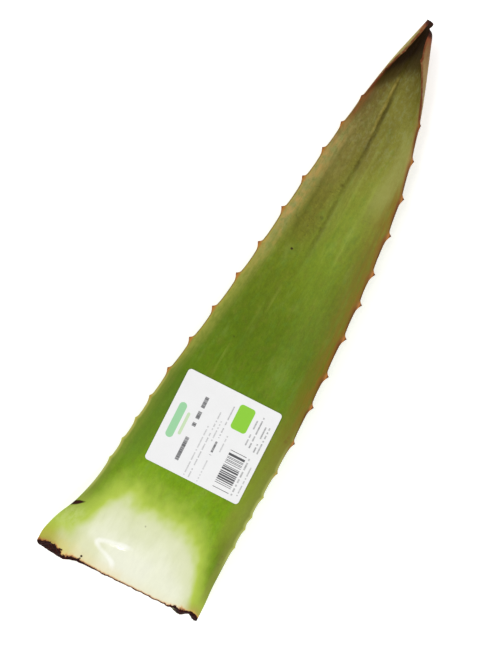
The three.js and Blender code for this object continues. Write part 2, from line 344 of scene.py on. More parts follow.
def leaf_shape():
    """Points of both skins on the grid of stations and rows, with the measures that the materials read."""
    x = station_places()
    v = np.sin(np.pi / 2 * (2 * np.arange(ROWS + 1) / ROWS - 1))[None]
    arms = fit_arms(x)
    plain = skins(x, v, arms, False)
    lowest = plain["lower"][1].min(1, keepdims=True)
    found = skins(x, v, arms)
    cut_share = np.maximum(0, 1 - x / CUT_FADE) ** FADE_POWER
    tip_share = np.maximum(0, 1 - (END - x) / TIP_FADE) ** FADE_POWER
    torn = 0.35 * lumps((v * 24, x * 0), 8) + 0.2 * lumps((v * 60, x * 0), 9)
    shape = {}
    for name, cut in (("upper", cut_upper), ("lower", cut_lower)):
        across, up = found[name]
        along = x + found["spine"] * SPINE_HOOK + tip_shift(v) * tip_share
        along = along + cut(v) * cut_share + torn * np.maximum(0, 1 - x / 4) ** 2
        across = across - KNOB_LEAN * step(x, 364, 367) * step(v, -0.1, 0.02) * (1 - step(v, 0.15, 0.6))
        height = np.maximum(0, up - lowest + lift_at(x))
        shape[name] = np.stack([along, across + fold_line(x), height], -1)
        shape[name + "_course"] = np.stack(np.broadcast_arrays(x, found["arc"], v), -1)
        inward = found["own"] * (1 - np.abs(v))
        thorn = np.maximum(-1, (found["spine"] - inward) / spine_height(x))
        below = 0.0 if name == "upper" else 1.0
        shape[name + "_skin"] = np.stack(np.broadcast_arrays(inward, below, thorn), -1)
    return shape


def ring(upper, lower):
    """One closed loop of points at each station: the upper skin from right to left, then the lower back."""
    return np.concatenate([upper, lower[:, -2:0:-1]], 1)


def cap_points(upper, lower, push):
    """Inner points of an end face: layers blended from the upper to the lower edge, moved along by push."""
    share = CAP_DEPTHS[..., None]
    inner = upper[None, 1:-1] * (1 - share) + lower[None, 1:-1] * share
    inner[..., 0] += push(inner)
    return inner


def cap_faces(upper_index, lower_index, first_inner, turned):
    """Triangles of an end face between the two edges, without those that the shared margins flatten."""
    rows = len(upper_index)
    layers = np.empty((CAP_LAYERS + 1, rows), int)
    layers[0], layers[-1] = upper_index, lower_index
    layers[1:-1, 1:-1] = first_inner + np.arange((CAP_LAYERS - 1) * (rows - 2)).reshape(-1, rows - 2)
    layers[:, 0], layers[:, -1] = upper_index[0], upper_index[-1]
    a, b = layers[:-1, :-1].ravel(), layers[:-1, 1:].ravel()
    c, d = layers[1:, 1:].ravel(), layers[1:, :-1].ravel()
    triangles = np.concatenate([np.stack([a, b, c], 1), np.stack([a, c, d], 1)])
    whole = (triangles[:, 0] != triangles[:, 1]) & (triangles[:, 1] != triangles[:, 2])
    triangles = triangles[whole & (triangles[:, 0] != triangles[:, 2])]
    return triangles[:, ::-1] if turned else triangles


# Where the bleached foot ends, as (distance to the left, distance from the cut).
BLEACH_END = [
    (-52, -14), (-45, -2), (-42.6, 6), (-38.2, 19), (-33.5, 30), (-24.8, 37.5), (-15, 41), (-6, 42),
    (2, 40.5), (10, 40.5), (19, 41.5), (26, 35), (31, 22), (37, 12), (46, 4), (52, -3),
]
# Where its lime-green border ends.
LIME_END = [
    (-52, 10), (-46, 18), (-40, 34), (-30, 48), (-20, 55), (-8, 56), (2, 54), (12, 57), (24, 55),
    (32, 46), (39, 34), (46, 27), (52, 18),
]
# Where the dried tip begins, and how far the crust reaches over the skin, each by the share across.
BURN_START = [(-1, 347), (-0.5, 349), (0, 344.5), (0.3, 338), (0.7, 332), (1, 326)]
CRUST_REACH = [
    (-1, 2.2), (-0.92, 2.3), (-0.86, 1.3), (-0.8, 2), (-0.7, 1.6), (-0.6, 0.6), (0, 0.4), (0.35, 0.6),
    (0.5, 1.2), (0.6, 1.6), (0.66, 1.2), (0.72, 0.5), (0.8, 0.4), (0.93, 0.4), (1, 0.1),
]


def zones(course, points):
    """Distances in millimetres into the bleached foot, into the dried tip and into the crust of the cut."""
    x, share = course[:, 0], course[:, 2]
    bleached = curve_through(BLEACH_END)(np.clip(points[:, 1], -52, 52)) - x
    burnt = x - curve_through(BURN_START)(share)
    crusted = curve_through(CRUST_REACH)(share) - x
    return np.stack([bleached, burnt, crusted], -1)


WAKE = 17  # how far behind a spine the margin is marked


def wake(course):
    """How near each point is to the next spine ahead of it on its own margin: 1 at the spine, falling in a
    straight line to 0 at WAKE behind it."""
    x, share = course[:, 0], course[:, 2]
    found = np.zeros_like(course)
    for side, places in ((share < 0, SPINES_RIGHT), (share >= 0, SPINES_LEFT)):
        ahead = np.array(places)[None] - x[side][:, None]
        nearness = np.where(ahead > -0.8, np.minimum(1, 1 - ahead / WAKE), 0)
        found[side, 0] = np.maximum(0, nearness).max(axis=1)
    return found


def mesh_object(name, points, faces, fields, materials, slots=None):
    """A smooth mesh object from points in millimetres, with vector fields kept as attributes."""
    mesh = bpy.data.meshes.new(name)
    mesh.from_pydata((points + OFFSET) * METRES, [], faces)
    for field, values in fields.items():
        attribute = mesh.attributes.new(field, "FLOAT_VECTOR", "POINT")
        attribute.data.foreach_set("vector", np.ascontiguousarray(values, np.float32).ravel())
    for material in materials:
        mesh.materials.append(material)
    if slots is not None:
        mesh.polygons.foreach_set("material_index", slots)
    mesh.shade_smooth()
    mesh.set_sharp_from_angle(angle=SHARP_ANGLE)
    mesh.update()
    piece = bpy.data.objects.new(name, mesh)
    bpy.context.scene.collection.objects.link(piece)
    return piece


def make_leaf(shape, skin, flesh):
    """The leaf: rings of both skins joined from station to station, with faces over the cut and the tip."""
    upper, lower = shape["upper"], shape["lower"]
    grid = ring(upper, lower)
    stations, around = grid.shape[:2]
    index = np.arange(stations * around).reshape(stations, around)
    following = np.roll(index, -1, 1)
    quads = np.stack([index[:-1], index[1:], following[1:], following[:-1]], -1).reshape(-1, 4)
    thick = np.linalg.norm(upper[0, 1:-1] - lower[0, 1:-1], axis=-1)[None]

    def upper_index(i):
        """Upper edge of station i, from right to left."""
        return index[i, : ROWS + 1]

    def lower_index(i):
        """Lower edge of station i in the same order, with the points that it shares with the upper one."""
        return np.concatenate([index[i, :1], index[i, : ROWS : -1], index[i, ROWS : ROWS + 1]])

    def cut_push(inner):
        """The cut face is hollow as depth * (1 - depth) where it is thick, and lumpy all over, most where
        it has dried; the lumps fade at its rim as the root of the sine of the depth."""
        hollow = 0.1 * thick * 4 * CAP_DEPTHS * (1 - CAP_DEPTHS)
        lumpy = lumps((inner[..., 1] / 2.6, inner[..., 2] / 2.2), 12)
        fine = lumps((inner[..., 1] / 0.9, inner[..., 2] / 0.8), 13)
        dried = step(np.abs(inner[..., 1]), 30, 36)
        rough = (0.3 + 0.35 * dried) * lumpy + (0.1 + 0.25 * dried) * fine
        return hollow + np.sin(np.pi * CAP_DEPTHS) ** 0.5 * rough

    def tip_push(inner):
        """The tip's end face is lumpy, less towards its rim as the sine of the depth."""
        return 0.25 * lumps((inner[..., 1] / 0.9, inner[..., 2] / 0.9), 14) * np.sin(np.pi * CAP_DEPTHS)

    cut = cap_points(upper[0], lower[0], cut_push)
    tip = cap_points(upper[-1], lower[-1], tip_push)
    cut_start = grid.shape[0] * around
    tip_start = cut_start + cut.shape[0] * cut.shape[1]
    cut_triangles = cap_faces(upper_index(0), lower_index(0), cut_start, False)
    tip_triangles = cap_faces(upper_index(-1), lower_index(-1), tip_start, True)
    points = np.concatenate([grid.reshape(-1, 3), cut.reshape(-1, 3), tip.reshape(-1, 3)])

    fields = {"plan": points}
    for field in ("course", "skin"):
        over, under = shape[f"upper_{field}"], shape[f"lower_{field}"]
        rows = [ring(over, under).reshape(-1, 3)]
        for i, cap in ((0, cut), (-1, tip)):
            rows.append(np.broadcast_to(over[i, 1:-1], cap.shape).reshape(-1, 3))
        fields[field] = np.concatenate(rows)
    fields["zones"] = zones(fields["course"], points)
    fields["margin"] = wake(fields["course"])
    fields["foot"] = np.zeros_like(points)
    fields["foot"][:, 0] = curve_through(LIME_END)(np.clip(points[:, 1], -52, 52)) - fields["course"][:, 0]
    fields["foot"][:, 1] = wet_fold(points[:, 0], points[:, 1]) / FOLD_RISE
    fields["rind"] = np.zeros_like(points)
    under_skin = np.minimum(CAP_DEPTHS, 1 - CAP_DEPTHS) * thick
    values = np.stack(np.broadcast_arrays(under_skin, CAP_DEPTHS, thick), -1)
    fields["rind"][cut_start:tip_start] = values.reshape(-1, 3)

    faces = quads.tolist() + cut_triangles.tolist() + tip_triangles.tolist()
    slots = np.zeros(len(faces), np.int32)
    slots[len(quads) : len(quads) + len(cut_triangles)] = 1
    return mesh_object("leaf_surface", points, faces, fields, [skin, flesh], slots)


def upper_height(shape, x, y):
    """Height of the upper skin at points (x, y): each station's skin is read at even steps across, and
    the points lie between four of those readings."""
    stations = shape["upper_course"][:, 0, 0]
    right, left, count = -48.0, 36.0, 400
    across = np.linspace(right, left, count)
    near = np.flatnonzero((stations > x.min() - 2) & (stations < x.max() + 2))
    heights = np.stack([np.interp(across, shape["upper"][i, :, 1], shape["upper"][i, :, 2]) for i in near])
    row = np.clip(np.searchsorted(stations[near], x) - 1, 0, len(near) - 2)
    share = (x - stations[near][row]) / (stations[near][row + 1] - stations[near][row])
    place = (y - right) / (left - right) * (count - 1)
    column = np.clip(place.astype(int), 0, count - 2)
    rest = place - column
    first = heights[row, column] * (1 - rest) + heights[row, column + 1] * rest
    second = heights[row + 1, column] * (1 - rest) + heights[row + 1, column + 1] * rest
    return first * (1 - share) + second * share


def make_label(shape, paper):
    """The label: a closed sheet on a grid along and across it, whose half width shrinks on the round
    corners as corner - sqrt(corner ** 2 - past ** 2), laid on the skin with its edges a hair off it."""
    half_along, half_across, corner = LABEL_ALONG / 2, LABEL_ACROSS / 2, LABEL_CORNER
    rounded = half_along - corner + corner * np.sin(np.linspace(0, np.pi / 2, 7))
    straight = np.linspace(-half_along + corner, half_along - corner, LABEL_STEPS)[1:-1]
    along = np.concatenate([-rounded[::-1], straight, rounded])[:, None]
    past = np.maximum(0, np.abs(along) - half_along + corner)
    half = half_across - corner + np.sqrt(np.maximum(0, corner**2 - past**2))
    across = half * np.linspace(-1, 1, LABEL_STEPS + 1)[None]
    along = np.broadcast_to(along, across.shape)
    x = LABEL_MIDDLE[0] + along * math.cos(LABEL_TURN) - across * math.sin(LABEL_TURN)
    y = LABEL_MIDDLE[1] + along * math.sin(LABEL_TURN) + across * math.cos(LABEL_TURN)
    to_edge = np.minimum(half_along - np.abs(along), half_across - np.abs(across))
    lift = LABEL_LIFT * (1 - step(to_edge, 0, 5)) * (0.5 + 0.5 * lumps((along / 17, across / 17), 21))
    base = upper_height(shape, x, y) + LABEL_GAP + np.maximum(0, lift)
    sheets = [np.stack([x, y, base + rise], -1) for rise in (LABEL_THICK, 0)]
    points = np.concatenate([sheet.reshape(-1, 3) for sheet in sheets])
    top = np.arange(across.size).reshape(across.shape)
    low = top + across.size
    faces = [np.stack([top[:-1, :-1], top[1:, :-1], top[1:, 1:], top[:-1, 1:]], -1).reshape(-1, 4)]
    faces.append(np.stack([low[:-1, :-1], low[:-1, 1:], low[1:, 1:], low[1:, :-1]], -1).reshape(-1, 4))
    for sheet_edge in (np.s_[:, 0], np.s_[-1], np.s_[::-1, -1], np.s_[0, ::-1]):
        over, under = top[sheet_edge], low[sheet_edge]
        faces.append(np.stack([under[:-1], under[1:], over[1:], over[:-1]], -1))
    printed = np.stack([along, across, np.zeros_like(along)], -1).reshape(-1, 3)
    fields = {"printed": np.concatenate([printed, printed])}
    return mesh_object("label_sheet", points, np.concatenate(faces).tolist(), fields, [paper])


def shade(red, green, blue):
    """Linear colour from screen values of 0 to 255: ((value + 0.055) / 1.055) ** 2.4, straight near 0."""
    values = [value / 255 for value in (red, green, blue)]
    linear = [value / 12.92 if value < 0.04 else ((value + 0.055) / 1.055) ** 2.4 for value in values]
    return (*linear, 1.0)


# Colours of the skin: the ground and its patches.
GRASS = shade(114, 150, 12)
LEAF_GREEN = shade(91, 121, 4)
DEEP_GREEN = shade(88, 111, 6)
MOSS = shade(108, 125, 20)
OLIVE = shade(130, 132, 44)
STRAW = shade(121, 116, 44)
BARK = shade(88, 72, 18)
LEFT_DARKENING_FILTER = shade(215, 202, 215)
GREY_BROWN = shade(108, 90, 42)
CREASE_FLANK_OLIVE = shade(103, 91, 36)
CREASE_FLANK_STRAW = shade(116, 104, 48)
CREASE_FLANK_BROWN = shade(98, 84, 34)
LEFT_HALF_OLIVE = shade(112, 96, 40)
SHADE_GREEN = shade(88, 92, 4)
PAINTED_LIGHT_GREEN = shade(122, 146, 44)
BACK_GREEN = shade(134, 160, 78)
BACK_STRAW = shade(140, 136, 74)
BLOOM = shade(138, 156, 96)
DULL_OLIVE = shade(118, 116, 38)
SOFT_TEAL = shade(84, 128, 46)
DRY_GREY = shade(122, 126, 86)

# The bleached foot.
LIME = shade(180, 199, 80)
CREAM = shade(228, 230, 205)
PALE_LIME = shade(212, 217, 174)
MILK = shade(234, 234, 224)
SALLOW_FILTER = shade(243, 243, 224)
PAINTED_HIGHLIGHT_WHITE = shade(252, 252, 247)
HAZE_GREEN = shade(190, 204, 122)

# The crease and the marks.
CREASE_SHADE_BROWN = shade(64, 55, 4)
LIT_STRAW = shade(166, 146, 66)
PALE_STREAK_AND_HIGHLIGHT = shade(162, 172, 76)
BRUISE_OLIVE = shade(78, 76, 18)
SCAR = shade(44, 14, 4)

# The margins, first both, then the right and the left one.
MARGIN_GREEN = shade(72, 96, 10)
SUNK_SHADE_GREEN = shade(76, 100, 34)
STRIP_OLIVE = shade(140, 134, 56)
DULL_RIM = shade(128, 128, 60)
PALE_RIM_AND_HIGHLIGHT = shade(184, 188, 110)
OLIVE_BROWN = shade(120, 98, 18)
MARGIN_BROWN = shade(142, 98, 24)
GREY_OLIVE = shade(150, 151, 80)
FAWN = shade(162, 130, 78)
RIM_RUST = shade(122, 66, 22)
YOUNG_TAN = shade(144, 147, 60)
WARM_TAN = shade(178, 148, 84)
GREEN_TAN = shade(146, 146, 84)
DUSTY_OLIVE = shade(148, 140, 74)
DRY_BROWN = shade(102, 80, 42)
RUST_BAND = shade(134, 84, 42)
YELLOW_RIM = shade(172, 156, 62)

# The spines and the hem.
THORN_HALO = shade(164, 112, 56)
RIM_BROWN = shade(84, 40, 12)
RIM_GREY = shade(116, 96, 44)
PALE_THORN = shade(186, 188, 84)
OCHRE = shade(172, 118, 48)
THORN_BROWN = shade(170, 108, 50)
THORN_POINT = shade(98, 46, 20)
RED_POINT = shade(138, 70, 36)

# The dried tip.
DUSK = shade(68, 52, 8)
DEEP_DUSK = shade(56, 47, 8)
CHAR = shade(34, 19, 3)
CHAR_STREAK = shade(58, 42, 12)
TAN = shade(174, 156, 88)
GREY_TAN = shade(146, 136, 82)
PINK_TAN = shade(160, 112, 80)
PINK_END = shade(120, 66, 40)
FOLD_RUST = shade(106, 52, 24)
RED_END = shade(140, 66, 42)
CHAR_RED = shade(60, 26, 20)

# The skin beside the cut.
CORNER_OLIVE = shade(152, 138, 58)
CUT_STRAW = shade(226, 200, 134)
YELLOW_STAIN = shade(204, 194, 92)
CORNER_LIME = shade(160, 159, 50)
AMBER = shade(226, 172, 92)
CRUST_SHADOW_OLIVE = shade(136, 116, 36)
CUT_RUST = shade(150, 78, 34)

# Colours of the cut face.
GEL = shade(196, 200, 146)
GEL_VEIN = shade(176, 184, 124)
RIND = shade(150, 166, 76)
OXIDE = shade(150, 92, 44)
LATEX = shade(206, 152, 44)
CRUST_RED = shade(66, 14, 8)
CRUST_BLACK = shade(28, 4, 2)
RUST = shade(128, 72, 30)

# Colours of the label.
PAPER = shade(230, 230, 230)
INK = shade(52, 52, 56)
PRINT_GREEN = shade(130, 196, 10)
SOFT_GREEN = shade(118, 196, 128)

# Colours of the floor.
FLOOR_WHITE = shade(253, 253, 253)
FLOOR_HAZE = shade(249, 249, 249)


class Graph:
    """Shorthand for one node tree: most methods add nodes and give the output socket of the last."""

    def __init__(self, tree):
        self.tree = tree

    def feed(self, node, inputs):
        """Links or sets the inputs of a node."""
        for socket, value in inputs.items():
            if isinstance(value, bpy.types.NodeSocket):
                self.tree.links.new(value, node.inputs[socket])
            else:
                node.inputs[socket].default_value = value

    def add(self, kind, inputs, output=0, **settings):
        """One node of a kind."""
        node = self.tree.nodes.new("ShaderNode" + kind)
        for name, value in settings.items():
            setattr(node, name, value)
        self.feed(node, inputs)
        return node.outputs[output]

    def math(self, operation, first, second=0.0):
        """One step of arithmetic on two numbers."""
        return self.add("Math", {0: first, 1: second}, operation=operation)

    def plus(self, first, *others):
        """All the numbers added up."""
        for other in others:
            first = self.math("ADD", first, other)
        return first

    def times(self, first, *others):
        """Product of all the numbers."""
        for other in others:
            first = self.math("MULTIPLY", first, other)
        return first

    def most(self, first, *others):
        """Greatest of the numbers."""
        for other in others:
            first = self.math("MAXIMUM", first, other)
        return first

    def rest(self, mask):
        """What a mask leaves of 1."""
        return self.math("SUBTRACT", 1.0, mask)

    def step(self, value, low, high):
        """Smooth change from 0 at low to 1 at high; low may be the greater of the two."""
        inputs = {"Value": value, "From Min": low, "From Max": high}
        return self.add("MapRange", inputs, interpolation_type="SMOOTHSTEP")

    def near(self, value, middle, inner, outer):
        """1 where value is within inner of middle, falling to 0 at outer."""
        return self.step(self.math("ABSOLUTE", self.math("SUBTRACT", value, middle)), outer, inner)

    def stretch(self, value, start, full, last, end):
        """1 from full to last, falling to 0 at start and at end."""
        return self.times(self.step(value, start, full), self.step(value, end, last))

    def mix(self, factor, first, second, blend="MIX"):
        """Colour between two, or the first blended with the second in another way."""
        inputs = {0: factor, 6: first, 7: second}
        return self.add("Mix", inputs, 2, data_type="RGBA", blend_type=blend)

    def lay(self, colour, tone, *masks):
        """Colour with a tone laid over it, as thickly as the product of the masks."""
        return self.mix(self.times(*masks), colour, tone)

    def blend(self, factor, first, second):
        """Number between two."""
        return self.add("Mix", {0: factor, 2: first, 3: second}, data_type="FLOAT")

    def scaled(self, vector, *scale):
        """Vector with each part times its own scale."""
        return self.add("VectorMath", {0: vector, 1: scale}, operation="MULTIPLY")

    def noise(self, vector, scale=1.0, detail=2.0, roughness=0.5):
        """Noise from 0 to 1 about one half."""
        inputs = {"Vector": vector, "Scale": scale, "Detail": detail, "Roughness": roughness}
        return self.add("TexNoise", inputs, "Fac")

    def swing(self, noise, amount):
        """Noise made to swing by up to about amount to either side of 0."""
        return self.times(self.plus(noise, -0.5), 2.0 * amount)

    def field(self, name):
        """Vector kept on the mesh."""
        return self.add("Attribute", {}, "Vector", attribute_name=name)

    def parts(self, vector):
        """The three numbers of a vector."""
        node = self.tree.nodes.new("ShaderNodeSeparateXYZ")
        self.feed(node, {0: vector})
        return node.outputs

    def ramp(self, factor, stops):
        """Run of colours, each at its place from 0 to 1."""
        node = self.tree.nodes.new("ShaderNodeValToRGB")
        elements = node.color_ramp.elements
        for place, colour in stops[1:-1]:
            elements.new(place).color = colour
        elements[0].position, elements[0].color = stops[0]
        elements[-1].position, elements[-1].color = stops[-1]
        self.feed(node, {0: factor})
        return node.outputs[0]

    def effect(self, group, **inputs):
        """A node group; gives all its outputs."""
        node = self.tree.nodes.new("ShaderNodeGroup")
        node.node_tree = group
        self.feed(node, inputs)
        return node.outputs


def new_effect(name, inputs, outputs):
    """An empty node group with named sockets; gives the group, its graph, its inputs and its outputs."""
    group = bpy.data.node_groups.new(name, "ShaderNodeTree")
    for direction, sockets in (("INPUT", inputs), ("OUTPUT", outputs)):
        for label, kind in sockets.items():
            group.interface.new_socket(label, in_out=direction, socket_type="NodeSocket" + kind)
    graph = Graph(group)
    start, end = group.nodes.new("NodeGroupInput"), group.nodes.new("NodeGroupOutput")
    return group, graph, start.outputs, end.inputs


def new_material(name, **constants):
    """A material with one Principled shader whose constants are set on its own sockets."""
    material = bpy.data.materials.new(name)
    material.use_nodes = True
    shader = material.node_tree.nodes["Principled BSDF"]
    for socket, value in constants.items():
        shader.inputs[socket.replace("_", " ")].default_value = value
    return material, Graph(material.node_tree), shader.inputs


def finish_surface(graph, sockets, colour, roughness, height):
    """Feeds the shader its colour, roughness and a bump whose height is in millimetres."""
    bump = graph.add("Bump", {"Strength": 1.0, "Distance": METRES, "Height": height})
    for socket, value in (("Base Color", colour), ("Roughness", roughness), ("Normal", bump)):
        graph.tree.links.new(value, sockets[socket])


def grain_effect():
    """Fine grain: two sizes of noise, as a tone near 1 and as a height."""
    sockets = {"Place": "Vector", "Size": "Float", "Amount": "Float"}
    group, g, given, result = new_effect("fine_grain", sockets, {"Tone": "Float", "Height": "Float"})
    place = g.add("VectorMath", {0: given["Place"], "Scale": given["Size"]}, operation="SCALE")
    both = g.plus(g.times(g.noise(place, 1.0, 3.0), 0.6), g.times(g.noise(place, 3.1, 2.0), 0.4), -0.5)
    g.tree.links.new(g.plus(g.times(both, given["Amount"]), 1.0), result["Tone"])
    g.tree.links.new(g.times(both, given["Amount"]), result["Height"])
    return group


def crust_effect():
    """Dried, oxidised sap: red-brown to black by noise, matt on its lumps and a little glossy between."""
    outputs = {"Colour": "Color", "Roughness": "Float", "Height": "Float"}
    group, g, given, result = new_effect("dried_crust", {"Place": "Vector"}, outputs)
    coarse = g.noise(given["Place"], 0.7, 4.0, 0.6)
    fine = g.noise(given["Place"], 2.4, 3.0)
    colour = g.mix(g.step(coarse, 0.4, 0.74), CRUST_BLACK, CRUST_RED)
    colour = g.lay(colour, RUST, g.step(fine, 0.58, 0.8), 0.22)
    g.tree.links.new(colour, result["Colour"])
    g.tree.links.new(g.blend(g.step(fine, 0.35, 0.65), 0.5, 0.85), result["Roughness"])
    g.tree.links.new(g.plus(g.times(coarse, 0.9), g.times(fine, 0.3)), result["Height"])
    return group


def spot(g, x, y, place, inner, outer):
    """Round mask about a place: 1 within the inner radius, falling to 0 at the outer one."""
    along, across = g.plus(x, -place[0]), g.plus(y, -place[1])
    away = g.math("SQRT", g.plus(g.times(along, along), g.times(across, across)))
    return g.step(away, outer, inner)


def box(g, x, y, along, across, soft_x, soft_y):
    """Soft oblong mask between two distances along the leaf and two across it."""
    ends = g.times(g.step(x, along[0], along[0] + soft_x), g.step(x, along[1], along[1] - soft_x))
    sides = g.times(g.step(y, across[0], across[0] + soft_y), g.step(y, across[1], across[1] - soft_y))
    return g.times(ends, sides)


# Thin pale streaks in the skin, as (start, end, distance to the left, half width, strength); the one from
# 282 to 334 is a painted highlight on the ridge beside the crease.
PALE_STREAKS_AND_HIGHLIGHT = [
    (122, 156, 11.2, 1.0, 0.22), (172, 200, 1.9, 1.4, 0.26), (214, 294, -18.6, 2.0, 0.22),
    (232, 305, -8.5, 2.6, 0.16), (155, 190, 6.0, 1.2, 0.1), (282, 334, 3.6, 1.9, 0.12),
    (68, 96, 30, 0.8, 0.15),
]
# Broad olive-brown bruises, given in the same way as the streaks.
BRUISES = [
    (215, 300, 11.0, 3.2, 0.4), (248, 330, 4.5, 2.6, 0.12), (128, 200, 3.5, 4.0, 0.16),
    (150, 215, -26, 6.0, 0.14), (24, 62, -44.0, 3.4, 0.45), (205, 262, -33.0, 2.6, 0.25),
]
# Dark specks and scuffs, as (distance from the cut, distance to the left, inner radius, outer, strength).
SPECKS = [
    (216, 7, 0.5, 1.1, 0.9), (155.5, 11, 0.2, 0.8, 0.5), (240, 0.6, 0.3, 2.0, 0.3),
    (262, -0.4, 0.3, 2.0, 0.3), (117.5, -44.6, 0.5, 1.6, 0.8), (120.5, -44.9, 0.3, 1.4, 0.7),
    (37, -45.9, 0.3, 1.2, 0.4), (42, -45.7, 0.3, 1.0, 0.35), (232, 5.5, 0.2, 0.9, 0.3),
    (282, 5.2, 0.2, 0.9, 0.3), (35.3, 1.4, 0.15, 0.75, 0.4), (300, 8.6, 0.3, 1.4, 0.35),
]
# Small spurs of crust beside the cut, given as the specks are but without a strength.
CRUST_SPURS = [
    (1.9, 25.2, 0.4, 0.9), (0.4, 25.4, 0.2, 0.7), (-0.6, 25.8, 0.4, 1.0), (-0.9, 38.0, 0.6, 1.1),
    (-0.5, 37.0, 0.3, 0.8), (-2.3, 37.4, 0.8, 1.3),
]
# Run of the ground's colours, each with its place as a share of the length.
GROUND = [
    (0.0, GRASS), (0.18, GRASS), (0.33, LEAF_GREEN), (0.45, DEEP_GREEN), (0.58, MOSS), (0.73, OLIVE),
    (0.87, STRAW), (0.95, BARK),
]


def skin_measures(g, grain):
    """What the layers of the skin share: the fields kept on the mesh, the sides and faces of the leaf as
    masks, noises of several sizes, drawn out along the leaf or not, and the fine grain."""
    at = SimpleNamespace(course=g.field("course"), plan=g.field("plan"))
    at.x, at.arc, at.share = g.parts(at.course)
    at.inward, at.below, at.thorn = g.parts(g.field("skin"))
    at.bleach, at.burn, at.crusted = g.parts(g.field("zones"))
    at.limed, at.ripple, _ = g.parts(g.field("foot"))
    at.near_spine, _, _ = g.parts(g.field("margin"))
    at.plan_x, at.plan_y, _ = g.parts(at.plan)
    at.above = g.rest(at.below)
    at.mostly_above = g.blend(at.above, 0.45, 1.0)
    at.left = g.step(at.share, -0.02, 0.02)
    at.right = g.rest(at.left)
    at.upper_left, at.upper_right = g.times(at.left, at.above), g.times(at.right, at.above)

    at.fibres = g.noise(g.scaled(at.course, 0.016, 0, 24.0), 1.0, 4.0, 0.6)
    at.threads = g.noise(g.scaled(at.course, 0.05, 0, 80.0), 1.0, 3.0)
    at.blotches = g.noise(g.scaled(at.plan, 0.05, 0.15, 0.15), 1.0, 4.0, 0.62)
    at.mottle = g.noise(g.scaled(at.plan, 0.3, 0.5, 0.5), 1.0, 3.0, 0.6)
    at.freckles = g.noise(g.scaled(at.plan, 0.16, 0.22, 0.22), 1.0, 3.0, 0.6)
    at.streaked = g.step(g.noise(g.scaled(at.course, 0.08, 0, 22.0), 1.0, 4.0, 0.6), 0.36, 0.62)
    at.patches = g.step(g.noise(g.scaled(at.course, 0.07, 0, 12.0), 1.0, 3.0, 0.6), 0.38, 0.6)
    at.pores = g.effect(grain, Place=at.plan, Size=1.3, Amount=0.5)
    at.hollow = g.plus(at.inward, g.swing(at.fibres, 2.4))
    at.wrinkled = g.times(at.upper_left, g.stretch(at.x, 165.0, 215.0, 305.0, 330.0))
    return at


def green_ground(g, at):
    """The run of greens from the cut to the dried tip, browner on the left, with its broad patches: one in
    the shade of the right margin, a band of painted light right of the middle, and the paler back."""
    colour = g.ramp(g.times(at.x, 1 / END), GROUND)
    # Darker and browner over the left half towards the tip.
    browner = g.times(at.left, g.blend(g.near(at.share, 0.55, 0.1, 0.5), 0.5, 1.0))
    browner = g.times(browner, g.step(at.x, 140.0, 300.0), at.above, 0.75)
    colour = g.mix(browner, colour, LEFT_DARKENING_FILTER, "MULTIPLY")
    greyed = g.times(at.left, g.near(at.share, 0.62, 0.1, 0.5), g.step(at.x, 250.0, 305.0), at.above)
    colour = g.lay(colour, GREY_BROWN, greyed, 0.62)
    # Darker patches on both flanks of the crease, and one over the left half.
    for place, across, along, strength, tone in (
        (at.arc, (-6.0, 2.0, 7.0), (291.0, 10.0, 34.0), 0.32, CREASE_FLANK_OLIVE),
        (at.arc, (-3.5, 1.0, 4.5), (260.0, 20.0, 44.0), 0.4, CREASE_FLANK_STRAW),
        (at.arc, (4.0, 2.0, 6.5), (299.0, 6.0, 17.0), 0.55, CREASE_FLANK_BROWN),
        (at.share, (0.3, 0.15, 0.5), (262.0, 25.0, 55.0), 0.34, LEFT_HALF_OLIVE),
    ):
        patch = g.times(g.near(place, *across), g.near(at.x, *along), at.above)
        colour = g.lay(colour, tone, patch, strength)
    in_shade = g.times(at.upper_right, g.near(at.inward, 8.0, 3.0, 12.0), g.near(at.x, 208.0, 16.0, 40.0))
    colour = g.lay(colour, SHADE_GREEN, in_shade, 0.34)

    # Painted light: a brighter green band right of the middle.
    nearer = g.step(at.x, 185.0, 215.0)
    off_band = g.plus(at.plan_y, g.blend(nearer, 23.0, 11.5))
    painted_light_band = g.near(off_band, 0.0, g.blend(nearer, 3.0, 7.0), g.blend(nearer, 10.0, 17.0))
    painted_light_band = g.times(painted_light_band, g.near(at.x, 200.0, 45.0, 85.0), at.above)
    colour = g.lay(colour, PAINTED_LIGHT_GREEN, painted_light_band, g.blend(g.step(at.x, 195.0, 215.0), 0.22, 0.33))
    back = g.mix(g.step(at.x, 60.0, 330.0), BACK_GREEN, BACK_STRAW)
    colour = g.lay(colour, back, at.below, 0.8)
    return g.lay(colour, BLOOM, g.step(at.blotches, 0.5, 0.75), 0.12)


